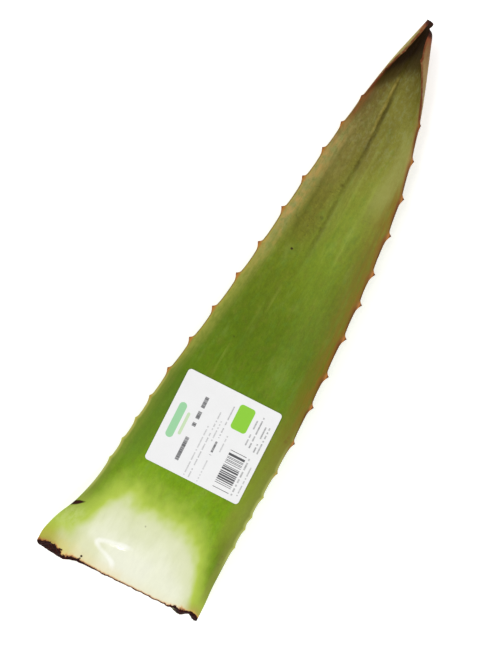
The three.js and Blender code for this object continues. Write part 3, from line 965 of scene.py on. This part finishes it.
def grained(g, at, colour):
    """Freckles, grey mottling towards the tip, fine wrinkles on the left half drawn as dark lines of
    painted shade with a painted highlight on their lit sides, and the tone of the fibres, blotches, grit
    and pores over them all. Keeps the wrinkles and the tone."""
    freckled = g.blend(g.step(at.x, 190.0, 260.0), 0.26, 0.42)
    colour = g.lay(colour, DULL_OLIVE, g.step(at.freckles, 0.5, 0.72), freckled)
    colour = g.lay(colour, SOFT_TEAL, g.step(at.freckles, 0.48, 0.28), g.step(at.x, 330.0, 290.0), 0.2)
    greying = g.times(g.step(at.mottle, 0.46, 0.66), g.step(at.x, 250.0, 300.0), at.above)
    colour = g.lay(colour, DRY_GREY, greying, 0.34)

    netting = g.noise(g.scaled(at.plan, 0.19, 0.11, 0.11), 1.0, 2.0, 0.55)
    creased = g.times(g.step(at.freckles, 0.46, 0.6), at.wrinkled, g.step(at.x, 205.0, 235.0))
    at.wrinkle = g.times(g.near(netting, 0.5, 0.0, 0.04), creased)
    lit_side = g.times(g.near(netting, 0.54, 0.0, 0.04), creased)
    grit = g.noise(g.scaled(at.plan, 0.8, 1.1, 1.1), 1.0, 3.0, 0.6)
    tone = g.plus(1.0, g.swing(at.fibres, 0.05), g.swing(at.threads, 0.04), g.swing(at.blotches, 0.2))
    gritty = g.times(g.swing(grit, 0.15), g.blend(at.wrinkled, 0.6, 1.2))
    tone = g.plus(tone, g.swing(at.mottle, 0.24), gritty)
    # Painted shade in each wrinkle and a painted highlight on its lit side.
    painted_fold_shading = g.plus(1.0, g.times(at.wrinkle, -0.1), g.times(lit_side, 0.1))
    at.tone = g.times(tone, at.pores["Tone"], painted_fold_shading)
    return g.mix(1.0, colour, at.tone, "MULTIPLY")


def bleached_foot(g, at, colour):
    """The pale foot with its lime border, both with lobed edges: cream that is milky in the middle, sallow
    on the left, with a painted highlight of white along the wet ripple, and a hazy green beyond its left
    end. Keeps the cream's mask."""
    lobes = g.noise(g.scaled(at.plan, 0.11, 0.15, 0.15), 1.0, 1.0)
    bleached = g.plus(at.bleach, g.swing(lobes, 5.0))
    lime = g.step(g.plus(at.limed, g.swing(lobes, 7.0)), -12.0, 12.0)
    colour = g.lay(colour, LIME, lime, g.blend(g.step(bleached, -14.0, -2.0), 0.72, 0.95))
    cream = g.mix(g.step(g.plus(bleached, g.swing(at.blotches, 6.0)), 26.0, 3.0), CREAM, PALE_LIME)
    cream = g.lay(cream, MILK, box(g, at.plan_x, at.plan_y, (0.0, 20.0), (-18.0, 16.0), 6.0, 8.0), 0.2)
    sallow = g.times(box(g, at.plan_x, at.plan_y, (-10.0, 18.0), (12.0, 46.0), 8.0, 9.0), at.above)
    cream = g.mix(sallow, cream, SALLOW_FILTER, "MULTIPLY")
    cloudy = g.plus(1.0, g.swing(at.blotches, 0.07), g.swing(at.mottle, 0.04))
    cream = g.mix(1.0, cream, cloudy, "MULTIPLY")
    # Painted highlight: whiter cream along the crest of the wet ripple.
    cream = g.lay(cream, PAINTED_HIGHLIGHT_WHITE, g.step(at.ripple, 0.25, 0.95), at.above, 0.6)
    at.cream = g.step(bleached, -8.5, 6.0)
    colour = g.lay(colour, cream, at.cream)
    hazy = box(g, at.plan_x, at.plan_y, (8.0, 31.0), (32.0, 52.0), 8.0, 6.0)
    return g.lay(colour, HAZE_GREEN, hazy, g.step(at.mottle, 0.2, 0.7), at.above, 0.55)


def crease_and_marks(g, at, colour):
    """The wavering crease, a dark brown line that is partly its own colour and partly painted shade, with a
    lit edge beside it, then pale streaks, one of them a painted highlight beside the crease, bruises and
    dark specks. Keeps the crease's mask."""
    wavering = g.plus(at.arc, g.swing(g.noise(g.scaled(at.course, 0.08, 0, 0), 1.0, 3.0), 0.9))
    width = g.blend(g.step(at.x, 270.0, 310.0), 2.2, 1.9)
    line = g.times(g.near(wavering, 0.1, 0.2, width), g.stretch(at.x, 190.0, 240.0, 312.0, 342.0), at.above)
    line = g.times(line, g.blend(g.step(at.freckles, 0.35, 0.6), 0.4, 1.0))
    at.crease_line = g.times(line, g.blend(g.step(at.x, 250.0, 300.0), 0.36, 0.78))
    # Dark line along the crease: partly its own brown, partly painted shade in the crease.
    colour = g.lay(colour, CREASE_SHADE_BROWN, at.crease_line)
    lit_edge = g.times(g.near(wavering, 1.9, 0.3, 1.4), g.stretch(at.x, 286.0, 306.0, 326.0, 342.0))
    colour = g.lay(colour, LIT_STRAW, lit_edge, at.above, g.blend(g.step(at.mottle, 0.3, 0.6), 0.1, 0.5))

    frayed = g.plus(at.plan_y, g.swing(at.threads, 1.2))
    broken = g.times(g.step(at.fibres, 0.3, 0.6), at.above)
    # Pale streaks, one of them a painted highlight beside the crease.
    for start, end, left, width, strength in PALE_STREAKS_AND_HIGHLIGHT:
        streak = box(g, at.plan_x, frayed, (start, end), (left - width, left + width), 12.0, width)
        colour = g.lay(colour, PALE_STREAK_AND_HIGHLIGHT, streak, broken, strength)
    drifting = g.plus(at.plan_y, g.swing(at.blotches, 5.0))
    for start, end, left, width, strength in BRUISES:
        bruise = box(g, at.plan_x, drifting, (start, end), (left - width, left + width), 18.0, width)
        colour = g.lay(colour, BRUISE_OLIVE, bruise, at.above, strength)
    strayed = g.plus(at.plan_x, g.swing(at.mottle, 0.6))
    for along, left, inner, outer, strength in SPECKS:
        speck = spot(g, strayed, at.plan_y, (along, left), inner, outer)
        colour = g.lay(colour, SCAR, speck, at.above, strength)
    return colour


def both_margins(g, at, colour):
    """The strips inside the margins of the lower half: shaded green, a sunken one on the left in painted
    shade and a straw-coloured one on the right, a dull rim, and a pale hair along the edge that is partly
    a painted highlight on its round rim."""
    x, hollow = at.x, at.hollow
    shaded = g.times(g.step(hollow, 13.0, 4.0), g.stretch(x, 18.0, 36.0, 120.0, 200.0))
    colour = g.lay(colour, MARGIN_GREEN, shaded, 0.28)
    # Painted shade: a darker green strip sunken inside the left margin.
    sunk_shade = g.times(at.upper_left, g.near(hollow, 9.0, 2.5, 8.0), g.stretch(x, 52.0, 76.0, 112.0, 135.0))
    colour = g.lay(colour, SUNK_SHADE_GREEN, sunk_shade, 0.42)
    strip = g.times(at.upper_right, g.near(hollow, 7.5, 2.0, 7.0), g.stretch(x, 30.0, 60.0, 110.0, 146.0))
    colour = g.lay(colour, STRIP_OLIVE, strip, 0.4)
    start = g.blend(at.right, 14.0, 2.0)
    dull_rim = g.times(g.step(hollow, 6.5, 1.5), g.step(x, start, g.plus(start, 20.0)), at.mostly_above)
    dull_rim = g.times(dull_rim, g.step(x, 170.0, 110.0), g.blend(at.right, 0.4, 0.65))
    colour = g.lay(colour, DULL_RIM, dull_rim)
    # A pale hair along both edges: partly its own pale colour, partly a painted highlight on the round rim.
    pale_rim_and_highlight = g.times(g.step(at.inward, 2.0, 0.4), g.stretch(x, 28.0, 46.0, 108.0, 132.0), at.mostly_above)
    return g.lay(colour, PALE_RIM_AND_HIGHLIGHT, pale_rim_and_highlight, 0.55)


def right_margin(g, at, colour):
    """The right margin past the label: olive and brown bands, a greyish strip that nears the edge towards
    the tip, a fawn one outside it, and a brown rim that is darkest behind each spine."""
    x, hollow = at.x, at.hollow
    margin = g.times(at.right, at.mostly_above, g.step(x, 310.0, 275.0))
    olive = g.times(margin, g.step(hollow, 16.0, 2.0), g.step(x, 80.0, 150.0))
    colour = g.lay(colour, OLIVE_BROWN, olive, g.blend(at.streaked, 0.4, 0.85))
    brown = g.times(margin, g.step(hollow, 4.5, 1.5), g.step(x, 120.0, 185.0), at.streaked)
    colour = g.lay(colour, MARGIN_BROWN, brown, 0.42)
    off_middle = g.math("SUBTRACT", hollow, g.blend(g.step(x, 252.0, 298.0), 13.0, 4.0))
    greyish = g.times(g.near(off_middle, 0.0, 2.5, 8.0), g.stretch(x, 246.0, 270.0, 296.0, 316.0))
    colour = g.lay(colour, GREY_OLIVE, at.upper_right, greyish, g.blend(at.mottle, 0.4, 0.8))
    far_strip = g.times(at.upper_right, g.step(hollow, 4.0, 0.8), g.stretch(x, 262.0, 292.0, 312.0, 335.0))
    colour = g.lay(colour, FAWN, far_strip, g.blend(at.streaked, 0.3, 0.7))
    width = g.blend(g.step(x, 250.0, 285.0), 3.2, 2.4)
    rim = g.times(at.right, at.mostly_above, g.step(at.inward, width, 1.0))
    rim = g.times(rim, g.stretch(x, 110.0, 165.0, 300.0, 330.0), g.blend(at.patches, 0.7, 1.0))
    return g.lay(colour, RIM_RUST, rim, g.blend(at.near_spine, 0.35, 0.9))


def left_margin(g, at, colour):
    """The left margin past the label: a faded tan band that widens towards the tip, a dusty strip inside
    it, brown and rust near the tip, and a yellow hair along the edge."""
    x, hollow = at.x, at.hollow
    growth = g.plus(g.times(g.step(x, 118.0, 150.0), 4.0), g.times(g.step(x, 175.0, 225.0), 1.8), -3.0)
    faded = g.times(at.left, at.mostly_above, g.step(g.math("SUBTRACT", hollow, growth), 8.6, -1.0))
    faded = g.times(faded, g.stretch(x, 100.0, 135.0, 280.0, 312.0), g.blend(at.streaked, 0.8, 1.05))
    faded = g.times(faded, g.blend(g.step(at.mottle, 0.36, 0.62), 0.8, 1.15))
    tan = g.mix(g.step(at.freckles, 0.36, 0.64), WARM_TAN, GREEN_TAN)
    colour = g.lay(colour, g.mix(g.step(x, 170.0, 240.0), YOUNG_TAN, tan), faded)
    dusty = g.times(at.upper_left, g.near(hollow, 11.0, 3.0, 8.0), g.near(x, 286.0, 14.0, 42.0))
    colour = g.lay(colour, DUSTY_OLIVE, dusty, g.blend(at.mottle, 0.0, 0.4))
    brown = g.times(at.upper_left, g.step(hollow, 8.5, 3.0), g.step(x, 294.0, 314.0))
    colour = g.lay(colour, DRY_BROWN, brown, 0.65)
    rusty = g.times(at.upper_left, g.step(hollow, 4.6, 1.2), g.step(x, 265.0, 305.0))
    colour = g.lay(colour, RUST_BAND, rusty, g.blend(at.patches, 0.4, 0.9))
    yellow = g.times(at.left, g.step(at.inward, 1.8, 0.5), g.stretch(x, 35.0, 80.0, 250.0, 290.0))
    return g.lay(colour, YELLOW_RIM, yellow, at.mostly_above, 0.4)


def spines_and_hems(g, at, colour):
    """A warm halo round each spine, a dark hem along the very edge, and the spines: pale near the cut, then
    orange-brown with dark points."""
    ripe = g.step(at.x, 70.0, 125.0)
    halo = g.times(g.step(at.thorn, -0.4, 0.15), at.above, g.blend(at.near_spine, 0.3, 0.8), ripe)
    colour = g.lay(colour, THORN_HALO, halo)
    width = g.blend(at.right, 0.6, g.blend(at.near_spine, 0.8, 1.7))
    hem = g.times(g.step(at.inward, width, 0.3), g.step(at.x, 90.0, 140.0), g.blend(at.patches, 0.5, 0.85))
    colour = g.lay(colour, g.mix(at.right, RIM_GREY, RIM_BROWN), hem)
    spine = g.mix(g.times(at.right, 0.75), OCHRE, THORN_BROWN)
    spine = g.mix(g.step(at.thorn, 0.34, 0.78), spine, g.mix(at.right, RED_POINT, THORN_POINT))
    spine = g.mix(ripe, PALE_THORN, spine)
    return g.lay(colour, spine, g.step(at.thorn, 0.02, 0.3), g.blend(ripe, 0.6, 1.0))


def dried_tip(g, at, colour):
    """The tip: dusky and then burnt black inside, partly its dried colour and partly painted shade deep in
    the curl, tan on the left and pinkish on the right outside, with rusty rims and black ends. Keeps the
    mask of the black, shaded inside."""
    # Dusky, then black: partly the dried tip's own colour, partly painted shade inside the curled channel.
    wilted = g.plus(at.burn, g.swing(at.blotches, 4.0), g.swing(at.fibres, 3.0))
    colour = g.lay(colour, g.mix(at.freckles, DUSK, DEEP_DUSK), g.step(wilted, -14.0, -3.0), at.above, 0.92)
    at.charred = g.times(g.step(wilted, -4.0, 7.0), at.above)
    colour = g.lay(colour, g.mix(g.step(at.threads, 0.45, 0.7), CHAR, CHAR_STREAK), at.charred)
    veined = g.blend(g.step(at.fibres, 0.3, 0.7), 0.2, 0.8)
    pink_face = g.lay(g.mix(veined, PINK_TAN, GREY_TAN), PINK_END, g.step(at.x, 338.0, 358.0), 0.75)
    outer_face = g.mix(at.right, g.mix(veined, TAN, GREY_TAN), pink_face)
    outer_face = g.mix(1.0, outer_face, at.tone, "MULTIPLY")
    colour = g.lay(colour, outer_face, at.below, g.step(at.x, 270.0, 330.0), 0.85)
    rusty_rim = g.times(g.step(at.x, 285.0, 325.0), g.step(at.inward, g.blend(at.below, 1.6, 1.0), 0.3))
    colour = g.lay(colour, FOLD_RUST, rusty_rim, g.blend(g.step(at.mottle, 0.35, 0.6), 0.5, 1.0))
    end_place = g.plus(at.x, -3.0, g.times(at.left, -3.5), g.swing(at.mottle, 3.0))
    colour = g.lay(colour, RED_END, g.near(end_place, 358.0, 1.0, 6.0), at.below, 0.6)
    black = g.mix(g.step(at.mottle, 0.45, 0.65), CHAR, CHAR_RED)
    return g.lay(colour, black, g.step(end_place, 356.5, 361.0), 0.95)


def cut_border(g, at, colour, crust):
    """The skin beside the cut: a slanting scar at the left margin, olive corners, straw, yellow and amber
    stains of sap, a painted olive shadow beside the crust at the left corner, and the dried crust with its
    spurs. Keeps the crust and its mask."""
    slant = g.plus(at.plan_x, g.times(g.plus(at.plan_y, -42.5), 0.62), -28.2)
    width = g.plus(0.5, g.times(g.step(at.plan_y, 38.5, 43.0), 1.05), g.swing(at.mottle, 0.35))
    scar = g.near(slant, 0.0, g.times(width, 0.6), g.times(width, 1.3))
    colour = g.lay(colour, SCAR, scar, at.above, g.step(at.plan_y, 37.6, 40.4))

    corner = g.step(g.math("ABSOLUTE", at.share), 0.5, 0.7)
    jagged = g.noise(g.scaled(at.plan, 0.45, 0.55, 0.5), 1.0, 4.0, 0.65)
    sap = g.plus(at.crusted, g.times(g.swing(jagged, 1.0), g.blend(corner, 0.7, 2.2)))
    stain = g.plus(sap, g.times(g.swing(at.blotches, 3.0), corner))
    olive = g.times(at.upper_right, g.step(at.hollow, 14.0, 2.0), g.step(at.x, 12.0, 3.0))
    colour = g.lay(colour, CORNER_OLIVE, olive, 0.8)
    colour = g.lay(colour, CUT_STRAW, g.step(stain, -8.0, -0.5), g.blend(at.left, 0.14, 0.34))
    colour = g.lay(colour, YELLOW_STAIN, g.step(stain, -10.0, -1.5), corner, at.left, 0.55)
    lime = g.times(at.upper_left, g.step(at.hollow, 17.0, 4.0), g.step(at.x, 15.0, 2.0))
    colour = g.lay(colour, CORNER_LIME, lime, 0.85)
    colour = g.lay(colour, AMBER, g.step(stain, g.blend(corner, -1.6, -2.6), 0.2), 0.65)
    # Painted shadow: olive on the skin beside the crust at the left corner.
    colour = g.lay(colour, CRUST_SHADOW_OLIVE, g.step(stain, -3.2, -0.4), g.step(at.share, 0.74, 0.86), 0.6)
    colour = g.lay(colour, CUT_RUST, g.step(stain, -0.9, 0.0), 0.8)
    at.crusty = g.step(sap, -0.25, 0.15)
    for along, left, inner, outer in CRUST_SPURS:
        spur = g.times(spot(g, at.plan_x, at.plan_y, (along, left), inner, outer), at.above)
        at.crusty = g.most(at.crusty, spur)
    # Made here, beside its use: made among the shared measures, this node renders the whole skin black.
    at.dried = g.effect(crust, Place=at.plan)
    return g.lay(colour, at.dried["Colour"], at.crusty)


def skin_material(grain, crust):
    """The whole skin: its layers of colour from the greens up to the crust, then its roughness, its fine
    height, and the wet coat of the bleached foot."""
    material, g, shader = new_material("aloe_skin", Specular_IOR_Level=0.12, Coat_Roughness=0.15)
    at = skin_measures(g, grain)
    colour = green_ground(g, at)
    for layer in (
        grained, bleached_foot, crease_and_marks, both_margins, right_margin, left_margin, spines_and_hems,
        dried_tip,
    ):
        colour = layer(g, at, colour)
    colour = cut_border(g, at, colour, crust)

    dry = g.step(at.x, 235.0, 340.0)
    roughness = g.plus(0.42, g.swing(at.blotches, 0.12), g.times(dry, 0.16))
    roughness = g.blend(at.cream, roughness, g.plus(0.3, g.swing(at.mottle, 0.08)))
    roughness = g.blend(at.charred, roughness, 0.62)
    roughness = g.blend(at.crusty, roughness, at.dried["Roughness"])
    height = g.plus(g.swing(at.fibres, 0.08), g.swing(at.threads, 0.06), g.times(at.pores["Height"], 0.1))
    height = g.plus(height, g.times(g.swing(at.mottle, 0.22), g.most(at.wrinkled, dry)))
    height = g.times(height, g.blend(at.cream, 1.0, 0.45))
    height = g.plus(height, g.times(at.crusty, at.dried["Height"], 0.5))
    height = g.plus(height, g.times(at.crease_line, -0.2), g.times(at.wrinkle, -0.14))
    finish_surface(g, shader, colour, roughness, height)
    g.tree.links.new(g.times(at.cream, at.above, g.rest(at.crusty), 0.9), shader["Coat Weight"])
    return material


def flesh_material(grain, crust):
    """The cut face: gel under a thin oxidised film, a green rind with yellow sap ducts inside it, a dark
    line round the rim, and crust over both thin corners."""
    material, g, shader = new_material("aloe_cut_face", Specular_IOR_Level=0.1, Coat_Roughness=0.08)
    plan = g.field("plan")
    _, _, share = g.parts(g.field("course"))
    under_skin, depth, thick = g.parts(g.field("rind"))
    film = g.noise(plan, 0.16, 4.0, 0.6)
    veins = g.noise(g.scaled(plan, 1.0, 0.5, 1.1), 1.0, 3.0, 0.6)
    ragged = g.plus(under_skin, g.swing(veins, 0.7))
    pores = g.effect(grain, Place=plan, Size=1.1, Amount=0.5)

    colour = g.mix(g.step(veins, 0.4, 0.7), GEL, GEL_VEIN)
    colour = g.lay(colour, OXIDE, g.step(film, 0.4, 0.7), 0.42)
    colour = g.lay(colour, RIND, g.step(ragged, 2.6, 1.2))
    ducts = g.add("TexVoronoi", {"Vector": plan, "Scale": 0.42, "Randomness": 0.7}, "Distance")
    ring_place = g.times(g.near(under_skin, 2.6, 0.7, 1.2), g.step(depth, 0.5, 0.6))
    duct = g.times(g.step(ducts, 0.38, 0.24), ring_place)
    colour = g.lay(colour, LATEX, duct)
    colour = g.mix(1.0, colour, pores["Tone"], "MULTIPLY")

    dried = g.effect(crust, Place=plan)
    corner = g.step(g.plus(g.math("ABSOLUTE", g.plus(share, 0.08)), g.swing(veins, 0.1)), 0.54, 0.66)
    rim = g.step(ragged, 0.95, 0.45)
    crusty = g.most(corner, rim, g.step(thick, 4.0, 2.6))
    colour = g.lay(colour, dried["Colour"], crusty)
    roughness = g.blend(crusty, g.plus(0.24, g.swing(veins, 0.1)), dried["Roughness"])
    height = g.plus(g.times(veins, 0.25), g.times(crusty, dried["Height"]), g.times(duct, 0.2))
    finish_surface(g, shader, colour, roughness, height)
    g.tree.links.new(g.times(g.rest(crusty), 0.8), shader["Coat Weight"])
    return material


# Rows of grey dashes on the label, as (distance up, start, end, height, strength).
PRINT_ROWS = [
    (13.0, -21.8, 18.7, 2.6, 0.95), (5.3, -27.6, 4.2, 1.1, 0.4), (2.4, -27.6, 14.4, 1.1, 0.45),
    (-0.2, -3.0, 10.0, 1.1, 0.4), (-3.1, -27.6, -12.4, 1.1, 0.35), (-3.1, -10.6, -1.6, 1.6, 0.9),
    (-3.1, 0.4, 20.8, 1.1, 0.5), (-7.2, -6.6, 4.2, 1.1, 0.4), (-18.6, 3.6, 20.0, 1.2, 0.6),
    (-21.2, 2.0, 23.0, 1.2, 0.65), (-24.6, 2.0, 19.5, 1.2, 0.65), (-26.8, 2.0, 19.0, 1.2, 0.6),
    (-24.3, -26.6, -2.0, 1.3, 0.6), (-27.4, -24.6, -6.0, 1.1, 0.5),
]
# Width of a dash to its height, widths of a stroke in it and of an upright bar, and the share left blank.
GLYPH_CELL = 0.9
STROKE_CELL = 0.4
BAR_CELL = 0.36
WORD_GAP = 0.2
# Block of upright bars, from start to end along the label and up it.
BAR_BLOCK = (-26.0, -2.0), (-22.6, -12.2)
# Plain printed bars, as (middle, half lengths, corner, ink, strength).
GREEN_BARS = [
    ((16.5, -10.7), (7.6, 4.9), 2.0, PRINT_GREEN, 0.97), ((-1.0, 23.4), (11.0, 2.3), 2.3, SOFT_GREEN, 0.8),
    ((-1.0, 18.4), (7.0, 0.9), 0.9, PRINT_GREEN, 0.45),
]


def random_cells(g, value, size, seed):
    """A random number for each stretch of the given size."""
    cell = g.math("FLOOR", g.times(value, 1 / size))
    return g.add("TexWhiteNoise", {"W": g.plus(cell, seed)}, "Value", noise_dimensions="1D")


def round_bar(g, along, up, middle, half, radius):
    """Mask of an oblong with round corners: the distance to an inner oblong is less than the radius."""
    wide = g.most(g.plus(g.math("ABSOLUTE", g.plus(along, -middle[0])), radius - half[0]), 0.0)
    high = g.most(g.plus(g.math("ABSOLUTE", g.plus(up, -middle[1])), radius - half[1]), 0.0)
    away = g.math("SQRT", g.plus(g.times(wide, wide), g.times(high, high)))
    return g.step(away, radius + 0.12, radius - 0.12)


def paper_material(grain):
    """The label: smooth white paper with rows of dashes, a block of upright bars and plain green bars."""
    material, g, shader = new_material("label_paper", Specular_IOR_Level=0.4)
    printed = g.field("printed")
    along, up, _ = g.parts(printed)
    fibres = g.effect(grain, Place=printed, Size=2.2, Amount=0.09)
    clouds = g.noise(printed, 0.12, 3.0)
    colour = g.mix(1.0, PAPER, g.times(fibres["Tone"], g.plus(1.0, g.swing(clouds, 0.03))), "MULTIPLY")

    for number, (height_up, start, end, tall, strength) in enumerate(PRINT_ROWS):
        row = box(g, along, up, (start, end), (height_up - tall / 2, height_up + tall / 2), 0.3, 0.3)
        words = g.step(random_cells(g, along, GLYPH_CELL * tall, 31.0 * number), WORD_GAP, WORD_GAP + 0.01)
        strokes = g.blend(random_cells(g, along, STROKE_CELL, 57.0 * number), 0.6, 1.0)
        colour = g.lay(colour, INK, row, words, strokes, strength)
    bars = g.step(random_cells(g, along, BAR_CELL, 7.0), 0.5, 0.51)
    block = box(g, along, up, *BAR_BLOCK, 0.1, 0.15)
    colour = g.lay(colour, INK, bars, block, 0.95)
    for middle, half, radius, ink, strength in GREEN_BARS:
        bar = round_bar(g, along, up, middle, half, radius)
        colour = g.lay(colour, ink, bar, strength)

    roughness = g.plus(0.5, g.swing(clouds, 0.06))
    finish_surface(g, shader, colour, roughness, g.times(fibres["Height"], 0.12))
    return material


FLOOR_GLOW = 0.36  # strength of the floor's own light


def floor_material():
    """A plain, pale, matt floor with a trace of unevenness, that glows a little like a light table."""
    material, g, shader = new_material("pale_floor", Specular_IOR_Level=0.1, Emission_Strength=FLOOR_GLOW)
    place = g.add("TexCoord", {}, "Object")
    haze = g.noise(place, 3.0, 2.0)
    colour = g.mix(haze, FLOOR_HAZE, FLOOR_WHITE)
    finish_surface(g, shader, colour, g.plus(0.8, g.swing(haze, 0.05)), g.times(haze, 0.01))
    g.tree.links.new(colour, shader["Emission Color"])
    return material


grain = grain_effect()
crust = crust_effect()
shape = leaf_shape()
leaf = make_leaf(shape, skin_material(grain, crust), flesh_material(grain, crust))
label = make_label(shape, paper_material(grain))
for piece, node in ((leaf, "leaf"), (label, "label")):
    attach(piece, "root")
    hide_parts(node)

# The camera looks straight down, turned as in the photograph; the view is 0.578 mm a pixel.
PIXEL = 0.578
PICTURE_HEIGHT = 663
VIEW_MIDDLE = (159.7, 9.38)
VIEW_TURN = math.radians(-60.49)
LENS = 150
SENSOR = 36
MIDDLE_HEIGHT = 10

lens = bpy.data.cameras.new("camera")
lens.lens = LENS
lens.sensor_width = SENSOR
camera = bpy.data.objects.new("camera", lens)
distance = PIXEL * PICTURE_HEIGHT * LENS / SENSOR
camera.location = (OFFSET + [*VIEW_MIDDLE, distance + MIDDLE_HEIGHT]) * METRES
camera.rotation_euler = (0, 0, VIEW_TURN)
bpy.context.scene.collection.objects.link(camera)
bpy.context.scene.camera = camera

# The floor: half its side and how far it lies under the leaf, in metres.
FLOOR_HALF = 4
FLOOR_DROP = 0.0001
floor_mesh = bpy.data.meshes.new("floor")
corners = [(x * FLOOR_HALF, y * FLOOR_HALF, -FLOOR_DROP) for x, y in ((-1, -1), (1, -1), (1, 1), (-1, 1))]
floor_mesh.from_pydata(corners, [], [(0, 1, 2, 3)])
floor_mesh.materials.append(floor_material())
floor = bpy.data.objects.new("floor", floor_mesh)
bpy.context.scene.collection.objects.link(floor)


def soft_light(name, turn, lean, distance, size, power):
    """A square lamp at a turn about the upright and a lean from it, in degrees, that faces the leaf."""
    lamp = bpy.data.lights.new(name, "AREA")
    lamp.energy = power
    lamp.size = size
    light = bpy.data.objects.new(name, lamp)
    turn, lean = math.radians(turn), math.radians(lean)
    across = math.sin(lean)
    light.location = (
        distance * across * math.cos(turn), distance * across * math.sin(turn), distance * math.cos(lean),
    )
    light.rotation_euler = (0, lean, turn)
    bpy.context.scene.collection.objects.link(light)


soft_light("key_light", turn=75, lean=38, distance=1.4, size=0.9, power=7.5)
soft_light("fill_light", turn=-110, lean=46, distance=1.6, size=1.2, power=6.5)
soft_light("foot_light", turn=180, lean=44, distance=1.5, size=0.22, power=3.0)

STUDIO_GLOW = 0.58
world = bpy.data.worlds.new("studio")
world.use_nodes = True
background = world.node_tree.nodes["Background"].inputs
background["Color"].default_value = (1.0, 1.0, 1.0, 1.0)
background["Strength"].default_value = STUDIO_GLOW
bpy.context.scene.world = world
bpy.context.scene.view_settings.view_transform = "Standard"
